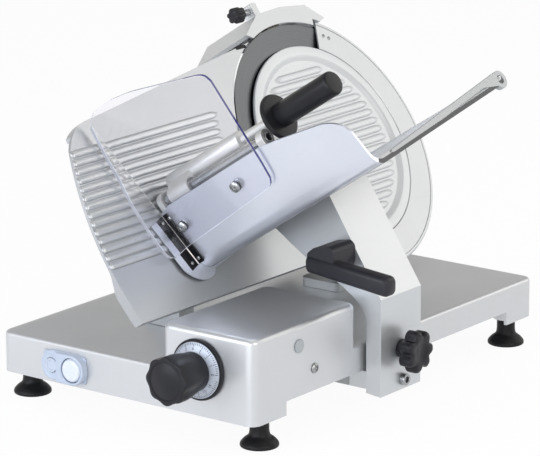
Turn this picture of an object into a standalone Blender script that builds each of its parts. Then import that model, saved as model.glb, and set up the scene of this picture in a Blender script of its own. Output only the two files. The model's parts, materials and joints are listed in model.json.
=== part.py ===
"""Gravity-feed deli meat slicer with a 300 mm blade.

Metres, +Z up. The operator stands at -Y, the carriage slides along +Y on the +X side.
The cutting plane leans back from the vertical about Y.
"""

import math

import bmesh
import bpy
from mathutils import Matrix, Vector

# Fits
GAP = 0.0003
RUN = 0.0006

# Base casing, measured from its front right bottom corner
BASE_WIDTH = 0.350
BASE_LENGTH = 0.532
BASE_HEIGHT = 0.0456
BASE_CORNER = 0.012
BASE_EDGE = 0.004
WALL = 0.0035
SKIRT_RISE = 0.0156
LEG_LENGTH = 0.056
HOUSING_WIDTH = 0.1246
HOUSING_LENGTH = 0.184
HOUSING_HEIGHT = 0.0942
HOUSING_EDGE = 0.006

# Feet
FOOT_HEIGHT = 0.030
FOOT_RADIUS = 0.021
FOOT_NECK = 0.0105
FOOT_INSET_X = 0.017
FOOT_INSET_Y = 0.031
BOSS_RADIUS = 0.015

# Switch
SWITCH_X = -0.258
SWITCH_Z = 0.0205
SWITCH_WIDTH = 0.0636
SWITCH_DEPTH = 0.0344
STOP_RADIUS = 0.0080
STOP_OFFSET = -0.0165
START_RADIUS = 0.0135
START_OFFSET = 0.0148
START_DOME = 0.0110
BUTTON_TRAVEL = 0.003

# Thickness dial
DIAL_X = -0.072
DIAL_Z = 0.052
DIAL_RING_RADIUS = 0.0325
DIAL_RING_DEPTH = 0.010
DIAL_KNOB_RADIUS = 0.0270
DIAL_KNOB_LENGTH = 0.047
DIAL_SHAFT_RADIUS = 0.006
DIAL_SHAFT_INSIDE = 0.060
CAM_RADIUS = 0.026

# Cutting plane and blade
CUT_LEAN = math.radians(33.0)
PLANE_OFFSET_X = 0.0074
PLANE_OFFSET_Z = 0.0018
BLADE_RADIUS = 0.150
BLADE_CENTRE_Y = 0.413
BLADE_CENTRE_UP = 0.125
EDGE_DEPTH = 0.0016
COVER_RADIUS = 0.122
COVER_DISH = 0.104
GUARD_CLEAR = 0.009
GUARD_WALL = 0.005
GUARD_FROM = math.radians(-121.0)
GUARD_TO = math.radians(64.5)
SUPPORT_RADIUS = 0.112
SUPPORT_DEPTH = 0.048
SUPPORT_WALL = 0.010
BEARING_RADIUS = 0.0197
BEARING_WIDTH = 0.011
SHAFT_RADIUS = 0.010
TIE_RADIUS = 0.003
TIE_KNOB_RADIUS = 0.024
TIE_KNOB_LENGTH = 0.016
PULLEY_RADIUS = 0.038
MOTOR_PULLEY_RADIUS = 0.014
BELT_THICK = 0.0018
MOTOR_P = -0.045
MOTOR_Q = -0.064
MOTOR_RADIUS = 0.042
MOTOR_LENGTH = 0.066

# Gauge plate
PLATE_REACH = 0.432
PLATE_BULGE = 0.008
PLATE_GAP = 0.0025
PLATE_RIM = 0.012
PLATE_SKIN = 0.0035
PLATE_WALL = 0.004
RIB_COUNT = 14
RIB_PITCH = 0.0098
RIB_WIDTH = 0.0070
RIB_HEIGHT = 0.0015
STEM_RADIUS = 0.009
GUIDE_RADIUS = 0.017
GUIDE_LENGTH = 0.028
PLATE_SHOULDER = 0.104
STEM_Y = 0.130
STEM_UP = 0.060
GAUGE_TRAVEL = 0.015

# Sharpener
SHARP_CLEAR = 0.002
SHARP_HEIGHT = 0.020
SHARP_FRONT = 0.0025
SHARP_BACK = -0.084
SHARP_WALL = 0.0025
SHARP_RIGHT = 0.086
SHARP_LEFT = 0.062
STONE_RADIUS = 0.0065

# Carriage
CARRIAGE_LEAN = math.radians(18.6)
FLOOR_RISE = math.radians(9.4)
TRAY_Y = 0.1021
TRAY_UP = 0.0368
TRAY_START = 0.0045
TRAY_END = 0.276
TRAY_SHEET = 0.003
TRAY_BEND = 0.012
TRAY_FLOOR = 0.262
TRAY_RIM = 0.0085
TRAY_RIM_WIDTH = 0.004
WALL_HEIGHT = 0.076
ARM_Y = 0.1932
ARM_WIDTH = 0.0752
ARM_OUT = 0.024
ARM_IN = 0.0046
ARM_BOTTOM = -0.011
ARM_BEND_Z = 0.0987
SLIDE_X = -0.045
SLIDE_Z = 0.027
SLIDE_RADIUS = 0.010
RAIL_X = -0.105
RAIL_WIDTH = 0.010
RAIL_HEIGHT = 0.016
RAIL_Z = 0.018
ROLLER_RADIUS = 0.007
STAR_RADIUS = 0.024
STAR_Z = 0.0365
HANDLE_Y = 0.160
HANDLE_BLOCK = 0.036
HANDLE_RISE = 0.023
GUARD_SHEET = 0.004
GUARD_REACH = 0.1745
GUARD_FAR_TOP = 0.178
GUARD_FAR_LOW = 0.036
STRIP_SHEET = 0.002
ROD_RADIUS = 0.0052
ROD_V = 0.014
ROD_W = 0.079
ROD_END = 0.176
PUSHER_V = 0.034
PUSHER_W = 0.088
PUSHER_RADIUS = 0.0115
PUSHER_START = 0.015
PUSHER_FLANGE = 0.026
PUSHER_GRIP = 0.0135
PUSHER_GRIP_LENGTH = 0.082

# Directions for turned objects: the local X and Y axes, Z is their product
ALONG_Z = (Vector((1, 0, 0)), Vector((0, 1, 0)))
FACING_FRONT = (Vector((1, 0, 0)), Vector((0, 0, 1)))
FACING_RIGHT = (Vector((0, 1, 0)), Vector((0, 0, 1)))
ALONG_Y = (Vector((0, 0, 1)), Vector((1, 0, 0)))

for old in list(bpy.data.objects):
    bpy.data.objects.remove(old, do_unlink=True)


def material(name, colour, roughness, metallic):
    mat = bpy.data.materials.new(name)
    mat.use_nodes = True
    shader = mat.node_tree.nodes["Principled BSDF"]
    shader.inputs["Base Color"].default_value = (*colour, 1.0)
    shader.inputs["Roughness"].default_value = roughness
    shader.inputs["Metallic"].default_value = metallic
    mat.diffuse_color = (*colour, 1.0)
    return mat


LOOKS = {
    "cast": ((0.66, 0.68, 0.70), 0.42, 0.9),
    "sheet": ((0.60, 0.62, 0.68), 0.32, 0.95),
    "steel": ((0.50, 0.51, 0.52), 0.25, 1.0),
    "blade": ((0.30, 0.31, 0.31), 0.28, 1.0),
    "black": ((0.024, 0.023, 0.027), 0.45, 0.0),
    "rubber": ((0.020, 0.020, 0.022), 0.75, 0.0),
    "white": ((0.78, 0.81, 0.84), 0.35, 0.0),
    "grey": ((0.42, 0.45, 0.50), 0.40, 0.0),
    "clear": ((0.80, 0.82, 0.90), 0.05, 0.0),
    "stone": ((0.55, 0.50, 0.45), 0.90, 0.0),
}


def empty(name, parent, location, axes=ALONG_Z):
    obj = bpy.data.objects.new(name, None)
    bpy.context.scene.collection.objects.link(obj)
    obj.parent = parent
    seat(obj, location, axes)
    return obj


def seat(obj, location, axes):
    x = axes[0].normalized()
    y = axes[1].normalized()
    z = x.cross(y)
    obj.location = location
    obj.rotation_euler = Matrix((x, y, z)).transposed().to_euler()


def solid(name, shape, look, parent, location=(0, 0, 0), axes=ALONG_Z, smooth=35.0):
    """One named object from (points, faces), faces turned outwards, smooth where it is round."""
    points, faces = shape
    mesh = bpy.data.meshes.new(name)
    bm = bmesh.new()
    verts = [bm.verts.new(p) for p in points]
    for face in faces:
        bm.faces.new([verts[i] for i in face])
    bmesh.ops.recalc_face_normals(bm, faces=bm.faces)
    bm.to_mesh(mesh)
    bm.free()
    mesh.shade_smooth()
    mesh.set_sharp_from_angle(angle=math.radians(smooth))
    colour, roughness, metallic = LOOKS[look]
    mesh.materials.append(material(name, colour, roughness, metallic))
    obj = bpy.data.objects.new(name, mesh)
    bpy.context.scene.collection.objects.link(obj)
    obj.parent = parent
    seat(obj, location, axes)
    return obj


def combine(target, operation, label, shape, parent, location=(0, 0, 0), axes=ALONG_Z):
    """A hidden tool body that is cut from the target or fused with it."""
    tool = solid(f"{target.name}_{label}", shape, "cast", parent, location, axes)
    tool.hide_render = True
    tool.display_type = "WIRE"
    mod = target.modifiers.new(label, "BOOLEAN")
    mod.operation = operation
    mod.solver = "EXACT"
    mod.object = tool
    return tool


def cut(target, label, shape, parent, location=(0, 0, 0), axes=ALONG_Z):
    return combine(target, "DIFFERENCE", label, shape, parent, location, axes)


def fuse(target, label, shape, parent, location=(0, 0, 0), axes=ALONG_Z):
    return combine(target, "UNION", label, shape, parent, location, axes)


def loft(rings):
    """Rings with equal point counts, joined in order and capped at both ends."""
    count = len(rings[0])
    points = [p for ring in rings for p in ring]
    faces = [list(range(count))]
    for k in range(len(rings) - 1):
        for i in range(count):
            j = (i + 1) % count
            a = k * count
            faces.append([a + i, a + j, a + count + j, a + count + i])
    faces.append([(len(rings) - 1) * count + i for i in range(count)])
    return points, faces


def at_height(outline, z):
    return [(x, y, z) for x, y in outline]


def prism(outline, low, high):
    return loft([at_height(outline, low), at_height(outline, high)])


def box(x0, x1, y0, y1, z0, z1):
    return prism([(x0, y0), (x1, y0), (x1, y1), (x0, y1)], z0, z1)


def hexahedron(bottom, top):
    return loft([bottom, top])


def several(shapes):
    """Separate closed bodies in one tool mesh."""
    points = []
    faces = []
    for more_points, more_faces in shapes:
        start = len(points)
        points.extend(more_points)
        faces.extend([[i + start for i in face] for face in more_faces])
    return points, faces


def circle(radius, count):
    step = 2 * math.pi / count
    return [(radius * math.cos(i * step), radius * math.sin(i * step)) for i in range(count)]


def arc(radius, start, end, steps, x=0.0, y=0.0):
    angles = [start + (end - start) * i / steps for i in range(steps + 1)]
    return [(x + radius * math.cos(a), y + radius * math.sin(a)) for a in angles]


def rounded_rect(x0, x1, y0, y1, radius, steps=3):
    turn = math.pi / 2
    corners = [
        (x1 - radius, y1 - radius),
        (x0 + radius, y1 - radius),
        (x0 + radius, y0 + radius),
        (x1 - radius, y0 + radius),
    ]
    points = []
    for k, (x, y) in enumerate(corners):
        points.extend(arc(radius, k * turn, (k + 1) * turn, steps, x, y))
    return points


def slab(x0, x1, y0, y1, corner, low, high, edge, steps=2):
    """A block with rounded upright corners and a rounded top edge."""
    rings = [at_height(rounded_rect(x0, x1, y0, y1, corner), low)]
    for i in range(steps + 1):
        a = math.pi / 2 * i / steps
        d = edge * (1 - math.cos(a))
        z = high - edge + edge * math.sin(a)
        rings.append(at_height(rounded_rect(x0 + d, x1 - d, y0 + d, y1 - d, corner - d), z))
    return loft(rings)


def cylinder(radius, low, high, count=20):
    return prism(circle(radius, count), low, high)


def turned(profile, count=20):
    """A solid of revolution about Z from (radius, height) points, with a flat face at both ends."""
    points = []
    rows = []
    for r, z in profile:
        rows.append(list(range(len(points), len(points) + count)))
        points.extend([(x, y, z) for x, y in circle(r, count)])
    faces = []
    for low, high in zip(rows, rows[1:]):
        for i in range(count):
            j = (i + 1) % count
            faces.append([low[i], low[j], high[j], high[i]])
    return points, [rows[0]] + faces + [rows[-1]]


def turned_ring(section, count=40):
    """A closed section of (radius, height) points turned all the way about Z."""
    return swept(section, 0.0, 2 * math.pi, count, True)


def swept(section, start, end, steps, whole=False):
    """A closed section of (radius, height) points swept about Z from one angle to the other."""
    size = len(section)
    total = steps if whole else steps + 1
    points = []
    for k in range(total):
        a = start + (end - start) * k / steps
        points.extend([(r * math.cos(a), r * math.sin(a), z) for r, z in section])
    faces = []
    for k in range(steps):
        m = (k + 1) % total
        for i in range(size):
            j = (i + 1) % size
            faces.append([k * size + i, k * size + j, m * size + j, m * size + i])
    if not whole:
        faces.append(list(range(size)))
        faces.append([steps * size + i for i in range(size)])
    return points, faces


def band(outer, inner, low, high):
    """A closed strip between two outlines with equal point counts."""
    count = len(outer)
    points = at_height(outer, low) + at_height(outer, high) + at_height(inner, high) + at_height(inner, low)
    faces = []
    for k in range(4):
        for i in range(count):
            j = (i + 1) % count
            a = k * count
            b = ((k + 1) % 4) * count
            faces.append([a + i, a + j, b + j, b + i])
    return points, faces


def lobed(radius, depth, lobes, per_lobe):
    count = lobes * per_lobe
    points = []
    for i in range(count):
        a = 2 * math.pi * i / count
        r = radius - depth * (0.5 - 0.5 * math.cos(lobes * a)) ** 2
        points.append((r * math.cos(a), r * math.sin(a)))
    return points


def lobed_knob(levels, lobes, per_lobe=5):
    """Rings of (height, radius, lobe depth) from the neck to the face."""
    return loft([at_height(lobed(r, d, lobes, per_lobe), z) for z, r, d in levels])


def through(first, middle, last, steps):
    """Points on the circle through three points, from the first to the last."""
    (ax, ay), (bx, by), (cx, cy) = first, middle, last
    d = 2 * (ax * (by - cy) + bx * (cy - ay) + cx * (ay - by))
    a2 = ax * ax + ay * ay
    b2 = bx * bx + by * by
    c2 = cx * cx + cy * cy
    ux = (a2 * (by - cy) + b2 * (cy - ay) + c2 * (ay - by)) / d
    uy = (a2 * (cx - bx) + b2 * (ax - cx) + c2 * (bx - ax)) / d
    radius = math.hypot(ax - ux, ay - uy)
    a0 = math.atan2(ay - uy, ax - ux)
    a1 = math.atan2(cy - uy, cx - ux)
    am = math.atan2(by - uy, bx - ux)
    turn = 2 * math.pi
    span = (a1 - a0) % turn
    if (am - a0) % turn > span:
        span -= turn
    return [(
        ux + radius * math.cos(a0 + span * i / steps),
        uy + radius * math.sin(a0 + span * i / steps),
    ) for i in range(steps + 1)]


def rib(x0, x1, y, face, width, height):
    """A low rounded ridge along X on a face at the given height, sunk a little into it."""
    levels = ((-height, 1.0, 0.0), (0.3 * height, 0.88, 0.10), (height, 0.35, 0.50))
    rings = []
    for rise, share, back in levels:
        half = 0.5 * width * share
        end = back * width
        z = face + rise
        rings.append([
            (x0 + end, y - half, z),
            (x1 - end, y - half, z),
            (x1 - end, y + half, z),
            (x0 + end, y + half, z),
        ])
    return loft(rings)


root = empty("slicer", None, (0, 0, 0))

# The cutting plane's frame: X along the carriage's travel, Y up the plane, Z out of it to the food
lean_s = math.sin(CUT_LEAN)
lean_c = math.cos(CUT_LEAN)
NORMAL = Vector((lean_c, 0, lean_s))
UPWARD = Vector((-lean_s, 0, lean_c))
PLANE_POINT = Vector((-HOUSING_WIDTH - PLANE_OFFSET_X, 0, HOUSING_HEIGHT + PLANE_OFFSET_Z))
BLADE_CENTRE = PLANE_POINT + UPWARD * BLADE_CENTRE_UP + Vector((0, BLADE_CENTRE_Y, 0))
head = empty("cutting_head", root, BLADE_CENTRE, (Vector((0, 1, 0)), UPWARD))

# The tray's frame: X into the tray from its wall, Y up the wall, Z away from the blade
tray_p = TRAY_Y - BLADE_CENTRE_Y
tray_q = TRAY_UP - BLADE_CENTRE_UP
wall_s = math.sin(CARRIAGE_LEAN)
wall_c = math.cos(CARRIAGE_LEAN)
tray = empty(
    "tray_frame",
    head,
    (tray_p, tray_q, 0),
    (Vector((wall_c, wall_s, 0)), Vector((-wall_s, wall_c, 0))),
)

# Base casing: a pan with a skirt, raised between the legs, and the dial housing on its front right corner
base = solid(
    "base_casing",
    slab(-BASE_WIDTH, 0, 0, BASE_LENGTH, BASE_CORNER, 0, BASE_HEIGHT, BASE_EDGE),
    "cast",
    root,
)
fuse(
    base,
    "housing",
    slab(-HOUSING_WIDTH, 0, 0, HOUSING_LENGTH, BASE_CORNER, 0.001, HOUSING_HEIGHT, HOUSING_EDGE),
    root,
)
pan_inside = rounded_rect(-BASE_WIDTH + WALL, -WALL, WALL, BASE_LENGTH - WALL, BASE_CORNER - WALL)
cut(base, "pan", prism(pan_inside, -0.002, BASE_HEIGHT - WALL), root)
SIDE_WALL = WALL + 0.0002
housing_inside = rounded_rect(
    -HOUSING_WIDTH + SIDE_WALL,
    -SIDE_WALL,
    SIDE_WALL,
    HOUSING_LENGTH - SIDE_WALL,
    BASE_CORNER - SIDE_WALL,
)
cut(base, "hollow", prism(housing_inside, -0.002, HOUSING_HEIGHT - SIDE_WALL), root)
foot_places = []
for side, x in (("right", -FOOT_INSET_X), ("left", -BASE_WIDTH + FOOT_INSET_X)):
    for end, y in (("front", FOOT_INSET_Y), ("rear", BASE_LENGTH - FOOT_INSET_Y)):
        foot_places.append((f"{end}_{side}", x, y))
boss_height = BASE_HEIGHT - 0.5 * WALL
for name, x, y in foot_places:
    fuse(base, f"boss_{name}", cylinder(BOSS_RADIUS, 0.0006, boss_height, 14), root, (x, y, 0))
leg_end = BASE_LENGTH - LEG_LENGTH
cut(base, "skirt_right", box(-2 * WALL, 0.01, LEG_LENGTH, leg_end, -0.01, SKIRT_RISE), root)
cut(
    base,
    "skirt_left",
    box(-BASE_WIDTH - 0.01, -BASE_WIDTH + 2 * WALL, LEG_LENGTH, leg_end, -0.01, SKIRT_RISE),
    root,
)
cut(
    base,
    "dial_hole",
    cylinder(DIAL_SHAFT_RADIUS + GAP, -2 * WALL, 2 * WALL),
    root,
    (DIAL_X, 0, DIAL_Z),
    FACING_FRONT,
)
switch_x = 0.5 * SWITCH_WIDTH
switch_z = 0.5 * SWITCH_DEPTH
BODY_INSET = 0.0018
body_x = switch_x - BODY_INSET
body_z = switch_z - BODY_INSET
switch_at = (SWITCH_X, 0, SWITCH_Z)
switch_hole = rounded_rect(-body_x - GAP, body_x + GAP, -body_z - GAP, body_z + GAP, 0.004)
cut(base, "switch_hole", prism(switch_hole, -2 * WALL, 2 * WALL), root, switch_at, FACING_FRONT)
PLUG_RADIUS = 0.0075
PLUG_STEM = 0.005
plug_at = (0, 0.0777, 0.0712)
screw_at = (0, 0.1056, 0.0402)
cut(base, "plug_hole", cylinder(PLUG_STEM + GAP, -3 * WALL, 2 * WALL, 20), root, plug_at, FACING_RIGHT)
cut(base, "screw_hole", cylinder(0.003 + GAP, -3 * WALL, 2 * WALL, 16), root, screw_at, FACING_RIGHT)

# Feet, plug and side screw
for name, x, y in foot_places:
    foot = [
        (FOOT_RADIUS - 0.0015, -FOOT_HEIGHT),
        (FOOT_RADIUS, -FOOT_HEIGHT + 0.0015),
        (FOOT_RADIUS - 0.001, -FOOT_HEIGHT + 0.006),
        (FOOT_NECK + 0.002, -FOOT_HEIGHT + 0.011),
        (FOOT_NECK, -FOOT_HEIGHT + 0.014),
        (FOOT_NECK, 0.0006 - GAP),
    ]
    solid(f"foot_{name}", turned(foot, 14), "rubber", root, (x, y, 0))
plug = [
    (PLUG_STEM, -0.006),
    (PLUG_STEM, GAP),
    (PLUG_RADIUS, GAP),
    (PLUG_RADIUS, 0.0012),
    (PLUG_RADIUS - 0.001, 0.002),
]
solid("blanking_plug", turned(plug, 18), "grey", root, plug_at, FACING_RIGHT)
screw = [(0.003, -0.008), (0.003, GAP), (0.0058, GAP), (0.0054, 0.0016), (0.0036, 0.0027)]
solid("side_screw", turned(screw, 14), "steel", root, screw_at, FACING_RIGHT)

# Bottom cover, between the skirts, clear of the carriage's slide
COVER_Z = SKIRT_RISE + 0.002
cover_sheet = rounded_rect(-BASE_WIDTH + WALL + GAP, RAIL_X - 0.022, LEG_LENGTH, leg_end, 0.006)
solid("bottom_cover", prism(cover_sheet, COVER_Z, COVER_Z + 0.0015), "sheet", root)

# Switch: a long oval bezel with its body through the panel, and two push buttons in it
bezel = solid(
    "switch_bezel",
    loft(
        [
            at_height(rounded_rect(-switch_x, switch_x, -switch_z, switch_z, 0.0165, 6), GAP),
            at_height(rounded_rect(-switch_x, switch_x, -switch_z, switch_z, 0.0165, 6), 0.0028),
            at_height(
                rounded_rect(
                    -switch_x + 0.002,
                    switch_x - 0.002,
                    -switch_z + 0.002,
                    switch_z - 0.002,
                    0.0145,
                    6,
                ),
                0.0044,
            ),
        ]
    ),
    "white",
    root,
    switch_at,
    FACING_FRONT,
)
BODY_DEPTH = 0.022
fuse(
    bezel,
    "body",
    prism(rounded_rect(-body_x, body_x, -body_z, body_z, 0.004), -BODY_DEPTH, 0.0015),
    root,
    switch_at,
    FACING_FRONT,
)
BUTTON_BACK = -0.006
bore_floor = BUTTON_BACK - BUTTON_TRAVEL - 0.003
stop_line = [(STOP_RADIUS, BUTTON_BACK), (STOP_RADIUS, 0.0044), (STOP_RADIUS - 0.0012, 0.0050)]
start_line = [
    (START_RADIUS, BUTTON_BACK),
    (START_RADIUS, 0.45 * START_DOME),
    (0.89 * START_RADIUS, 0.75 * START_DOME),
]
start_line += [(0.6 * START_RADIUS, 0.94 * START_DOME), (0.25 * START_RADIUS, START_DOME)]
for name, offset, radius, look, line in (
    ("stop_button", STOP_OFFSET, STOP_RADIUS, "grey", stop_line),
    ("start_button", START_OFFSET, START_RADIUS, "white", start_line),
):
    place = (SWITCH_X + offset, 0, SWITCH_Z)
    cut(bezel, f"bore_{name}", cylinder(radius + RUN, bore_floor, 0.01, 20), root, place, FACING_FRONT)
    solid(name, turned(line, 20), look, root, place, FACING_FRONT)

# Thickness dial: graduated ring, lobed knob, shaft through the housing wall, snail cam
dial_at = (DIAL_X, 0, DIAL_Z)
bore = DIAL_SHAFT_RADIUS + GAP
ring_back = RUN
ring_front = ring_back + DIAL_RING_DEPTH
dial_ring = [
    (bore, ring_back),
    (DIAL_RING_RADIUS, ring_back),
    (DIAL_RING_RADIUS + 0.001, ring_back + 0.0015),
    (DIAL_RING_RADIUS, ring_back + 0.0035),
    (DIAL_RING_RADIUS - 0.0035, ring_front),
    (bore, ring_front),
]
solid("dial_ring", turned_ring(dial_ring, 26), "steel", root, dial_at, FACING_FRONT)
knob_back = ring_front + GAP
knob_front = knob_back + DIAL_KNOB_LENGTH
knob = solid(
    "dial_knob",
    lobed_knob(
        [
            (knob_back, DIAL_KNOB_RADIUS - 0.005, 0.0),
            (knob_back + 0.005, DIAL_KNOB_RADIUS - 0.004, 0.001),
            (knob_back + 0.012, DIAL_KNOB_RADIUS - 0.001, 0.0045),
            (knob_front - 0.003, DIAL_KNOB_RADIUS, 0.0055),
            (knob_front, DIAL_KNOB_RADIUS - 0.002, 0.0055),
        ],
        8,
        5,
    ),
    "black",
    root,
    dial_at,
    FACING_FRONT,
)
shaft_tip = knob_front - 0.012
cut(knob, "bore", cylinder(bore, 0, shaft_tip + GAP), root, dial_at, FACING_FRONT)
cam_front = -DIAL_SHAFT_INSIDE + 0.014
shaft = [
    (DIAL_SHAFT_RADIUS, -DIAL_SHAFT_INSIDE),
    (DIAL_SHAFT_RADIUS, -WALL - 0.0065),
    (0.010, -WALL - 0.0065),
    (0.010, -SIDE_WALL - RUN),
    (DIAL_SHAFT_RADIUS, -SIDE_WALL - RUN),
    (DIAL_SHAFT_RADIUS, shaft_tip),
]
solid("dial_shaft", turned(shaft, 14), "steel", root, dial_at, FACING_FRONT)
cam_outline = []
for i in range(19):
    a = 2 * math.pi * i / 18
    r = 0.5 * CAM_RADIUS * (1 + i / 18)
    cam_outline.append((r * math.cos(a), r * math.sin(a)))
cam = solid(
    "gauge_cam",
    prism(cam_outline, cam_front - 0.008, cam_front),
    "steel",
    root,
    dial_at,
    FACING_FRONT,
)
cut(cam, "bore", cylinder(bore, cam_front - 0.02, cam_front + 0.01), root, dial_at, FACING_FRONT)

# Slide shaft and guide rail, from the front wall to the rear wall inside the base
rail_length = BASE_LENGTH - 2 * WALL - 2 * GAP
rail_y = WALL + GAP + 0.0002
shaft_length = rail_length - 0.0004
slide_end = [
    (SLIDE_RADIUS - 0.001, 0),
    (SLIDE_RADIUS, 0.001),
    (SLIDE_RADIUS, shaft_length - 0.001),
    (SLIDE_RADIUS - 0.001, shaft_length),
]
solid("slide_shaft", turned(slide_end, 18), "steel", root, (SLIDE_X, rail_y, SLIDE_Z), ALONG_Y)
rail_half = 0.5 * RAIL_WIDTH
solid(
    "guide_rail",
    box(0, RAIL_HEIGHT, -rail_half, rail_half, 0, shaft_length),
    "steel",
    root,
    (RAIL_X, rail_y, RAIL_Z),
    ALONG_Y,
)

# Gauge plate: ribbed face, rim turned back all round, hollow behind, an arc that follows the blade
plate_arc = BLADE_RADIUS + PLATE_GAP
plate_low = -BLADE_CENTRE_UP
arc_low = math.pi + math.asin(min(0.98, BLADE_CENTRE_UP / plate_arc))
arc_high = math.radians(113.0)
left = -PLATE_REACH
PLATE_FACE = -0.001
plate_outline = [(left, plate_low)]
plate_outline += arc(plate_arc, arc_low, arc_high, 22)
shoulder = PLATE_SHOULDER
plate_outline += through(
    (left + 0.064, shoulder),
    (left + 0.031, shoulder - 0.012),
    (left + 0.016, shoulder - 0.028),
    5,
)
plate_outline += through(
    (left + 0.016, shoulder - 0.028),
    (left - PLATE_BULGE, -0.030),
    (left, plate_low),
    8,
)[1:-1]
plate = solid("gauge_plate", prism(plate_outline, PLATE_FACE - PLATE_RIM, PLATE_FACE), "cast", head)
rim = PLATE_WALL
pocket_arc = plate_arc + rim
pocket_low = math.pi + math.asin(min(0.98, (BLADE_CENTRE_UP - rim) / pocket_arc))
pocket = [(left + rim, plate_low + rim)]
pocket += arc(pocket_arc, pocket_low, math.radians(127.0), 12)
pocket += through(
    (left + 0.064, shoulder - rim),
    (left + 0.031 + 0.5 * rim, shoulder - 0.012 - 0.8 * rim),
    (left + 0.016 + rim, shoulder - 0.028 - 0.3 * rim),
    4,
)
pocket += [(left - 0.6 * PLATE_BULGE + rim, 0.010), (left - PLATE_BULGE + rim + 0.001, -0.045)]
cut(plate, "back", prism(pocket, PLATE_FACE - PLATE_RIM - 0.01, PLATE_FACE - PLATE_SKIN), head)
rib_low = plate_low + 0.0685
ribs = []
for i in range(RIB_COUNT):
    q = rib_low + RIB_PITCH * i
    reach = plate_arc + 0.033
    right_end = -math.sqrt(max(reach * reach - q * q, 0.0001))
    left_end = left + 0.006 + 0.13 * max(0.0, q - 0.010)
    ribs.append(rib(left_end, right_end, q, PLATE_FACE, RIB_WIDTH, RIB_HEIGHT))
fuse(plate, "ribs", several(ribs), head)

# Gauge stem: a flanged rod on the plate's back, and the fixed bracket that guides it
stem_p = STEM_Y - BLADE_CENTRE_Y
stem_q = STEM_UP - BLADE_CENTRE_UP
stem_top = PLATE_FACE - PLATE_SKIN - GAP
flange_back = stem_top - 0.005
guide_front = PLATE_FACE - PLATE_RIM - GAUGE_TRAVEL - 0.006
guide_back = guide_front - GUIDE_LENGTH
stem_end = guide_back - GAUGE_TRAVEL - 0.006
stem = [(STEM_RADIUS, stem_end), (STEM_RADIUS, flange_back), (0.022, flange_back), (0.022, stem_top)]
solid("gauge_stem", turned(stem, 18), "steel", head, (stem_p, stem_q, 0))
guide = solid(
    "gauge_guide",
    prism(circle(GUIDE_RADIUS, 20), guide_back, guide_front),
    "cast",
    head,
    (stem_p, stem_q, 0),
)


def in_base(n, y, up):
    """A point of the cutting plane's frame in the base's frame: out of the plane, along Y, up the plane."""
    return PLANE_POINT + NORMAL * n + UPWARD * up + Vector((0, y, 0))


boss_mid = in_base(0.5 * (guide_front + guide_back), STEM_Y, STEM_UP)
deck = BASE_HEIGHT + GAP
web = [
    (boss_mid.x - 0.036, deck),
    (boss_mid.x + 0.030, deck),
    (boss_mid.x + 0.030, deck + 0.008),
    (boss_mid.x + 0.012, deck + 0.014),
    (boss_mid.x + 0.009, boss_mid.z - 0.004),
    (boss_mid.x - 0.009, boss_mid.z + 0.004),
    (boss_mid.x - 0.014, deck + 0.014),
    (boss_mid.x - 0.036, deck + 0.008),
]
fuse(guide, "web", prism(web, -STEM_Y - 0.013, -STEM_Y + 0.013), root, (0, 0, 0), FACING_FRONT)
cut(
    guide,
    "bore",
    cylinder(STEM_RADIUS + GAP, guide_back - 0.01, guide_front + 0.01, 20),
    head,
    (stem_p, stem_q, 0),
)

# Blade: hollow ground disc with its edge in the cutting plane
blade_seat = -0.012
spigot = 0.012
blade_section = [
    (spigot + GAP, -0.008),
    (COVER_RADIUS - 0.004, -0.008),
    (COVER_RADIUS + 0.001, -0.005),
    (BLADE_RADIUS, -EDGE_DEPTH),
    (BLADE_RADIUS, -EDGE_DEPTH - 0.0006),
    (BLADE_RADIUS - 0.006, -0.005),
    (COVER_RADIUS - 0.002, blade_seat),
    (spigot + GAP, blade_seat),
]
solid("blade", turned_ring(blade_section, 40), "blade", head)

# Blade shaft: hollow for the tie rod, with the blade's seat, in two bearings, and the driven pulley
flange = 0.034
shaft_front = -0.0063
seat_front = blade_seat - GAP
seat_back = seat_front - 0.0045
pulley_front = seat_back - GAP
pulley_back = pulley_front - 0.0157
boss_front = pulley_back - 0.0012
boss_back = -SUPPORT_DEPTH - 0.026
shaft_back = boss_back + 0.0015
tie_hole = TIE_RADIUS + RUN
shaft_section = [
    (tie_hole, shaft_front),
    (spigot, shaft_front),
    (spigot, seat_front),
    (flange, seat_front),
    (flange, seat_back),
    (SHAFT_RADIUS, seat_back),
    (SHAFT_RADIUS, shaft_back),
    (tie_hole, shaft_back),
]
solid("blade_shaft", turned_ring(shaft_section, 14), "steel", head)


def pulley_section(bore_radius, radius):
    rim = radius + 0.002
    return [
        (bore_radius, pulley_back),
        (rim, pulley_back),
        (rim, pulley_back + 0.0012),
        (radius, pulley_back + 0.0017),
        (radius, pulley_front - 0.0017),
        (rim, pulley_front - 0.0012),
        (rim, pulley_front),
        (bore_radius, pulley_front),
    ]


solid("blade_pulley", turned_ring(pulley_section(SHAFT_RADIUS + GAP, PULLEY_RADIUS), 16), "cast", head)
bearing_front = boss_front - 0.0008
bearing_rear = boss_back + 0.0016 + BEARING_WIDTH
for name, top in (("bearing_front", bearing_front), ("bearing_rear", bearing_rear)):
    section = [
        (SHAFT_RADIUS + GAP, top - BEARING_WIDTH),
        (BEARING_RADIUS, top - BEARING_WIDTH),
        (BEARING_RADIUS, top),
        (SHAFT_RADIUS + GAP, top),
    ]
    solid(name, turned_ring(section, 14), "steel", head)

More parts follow.
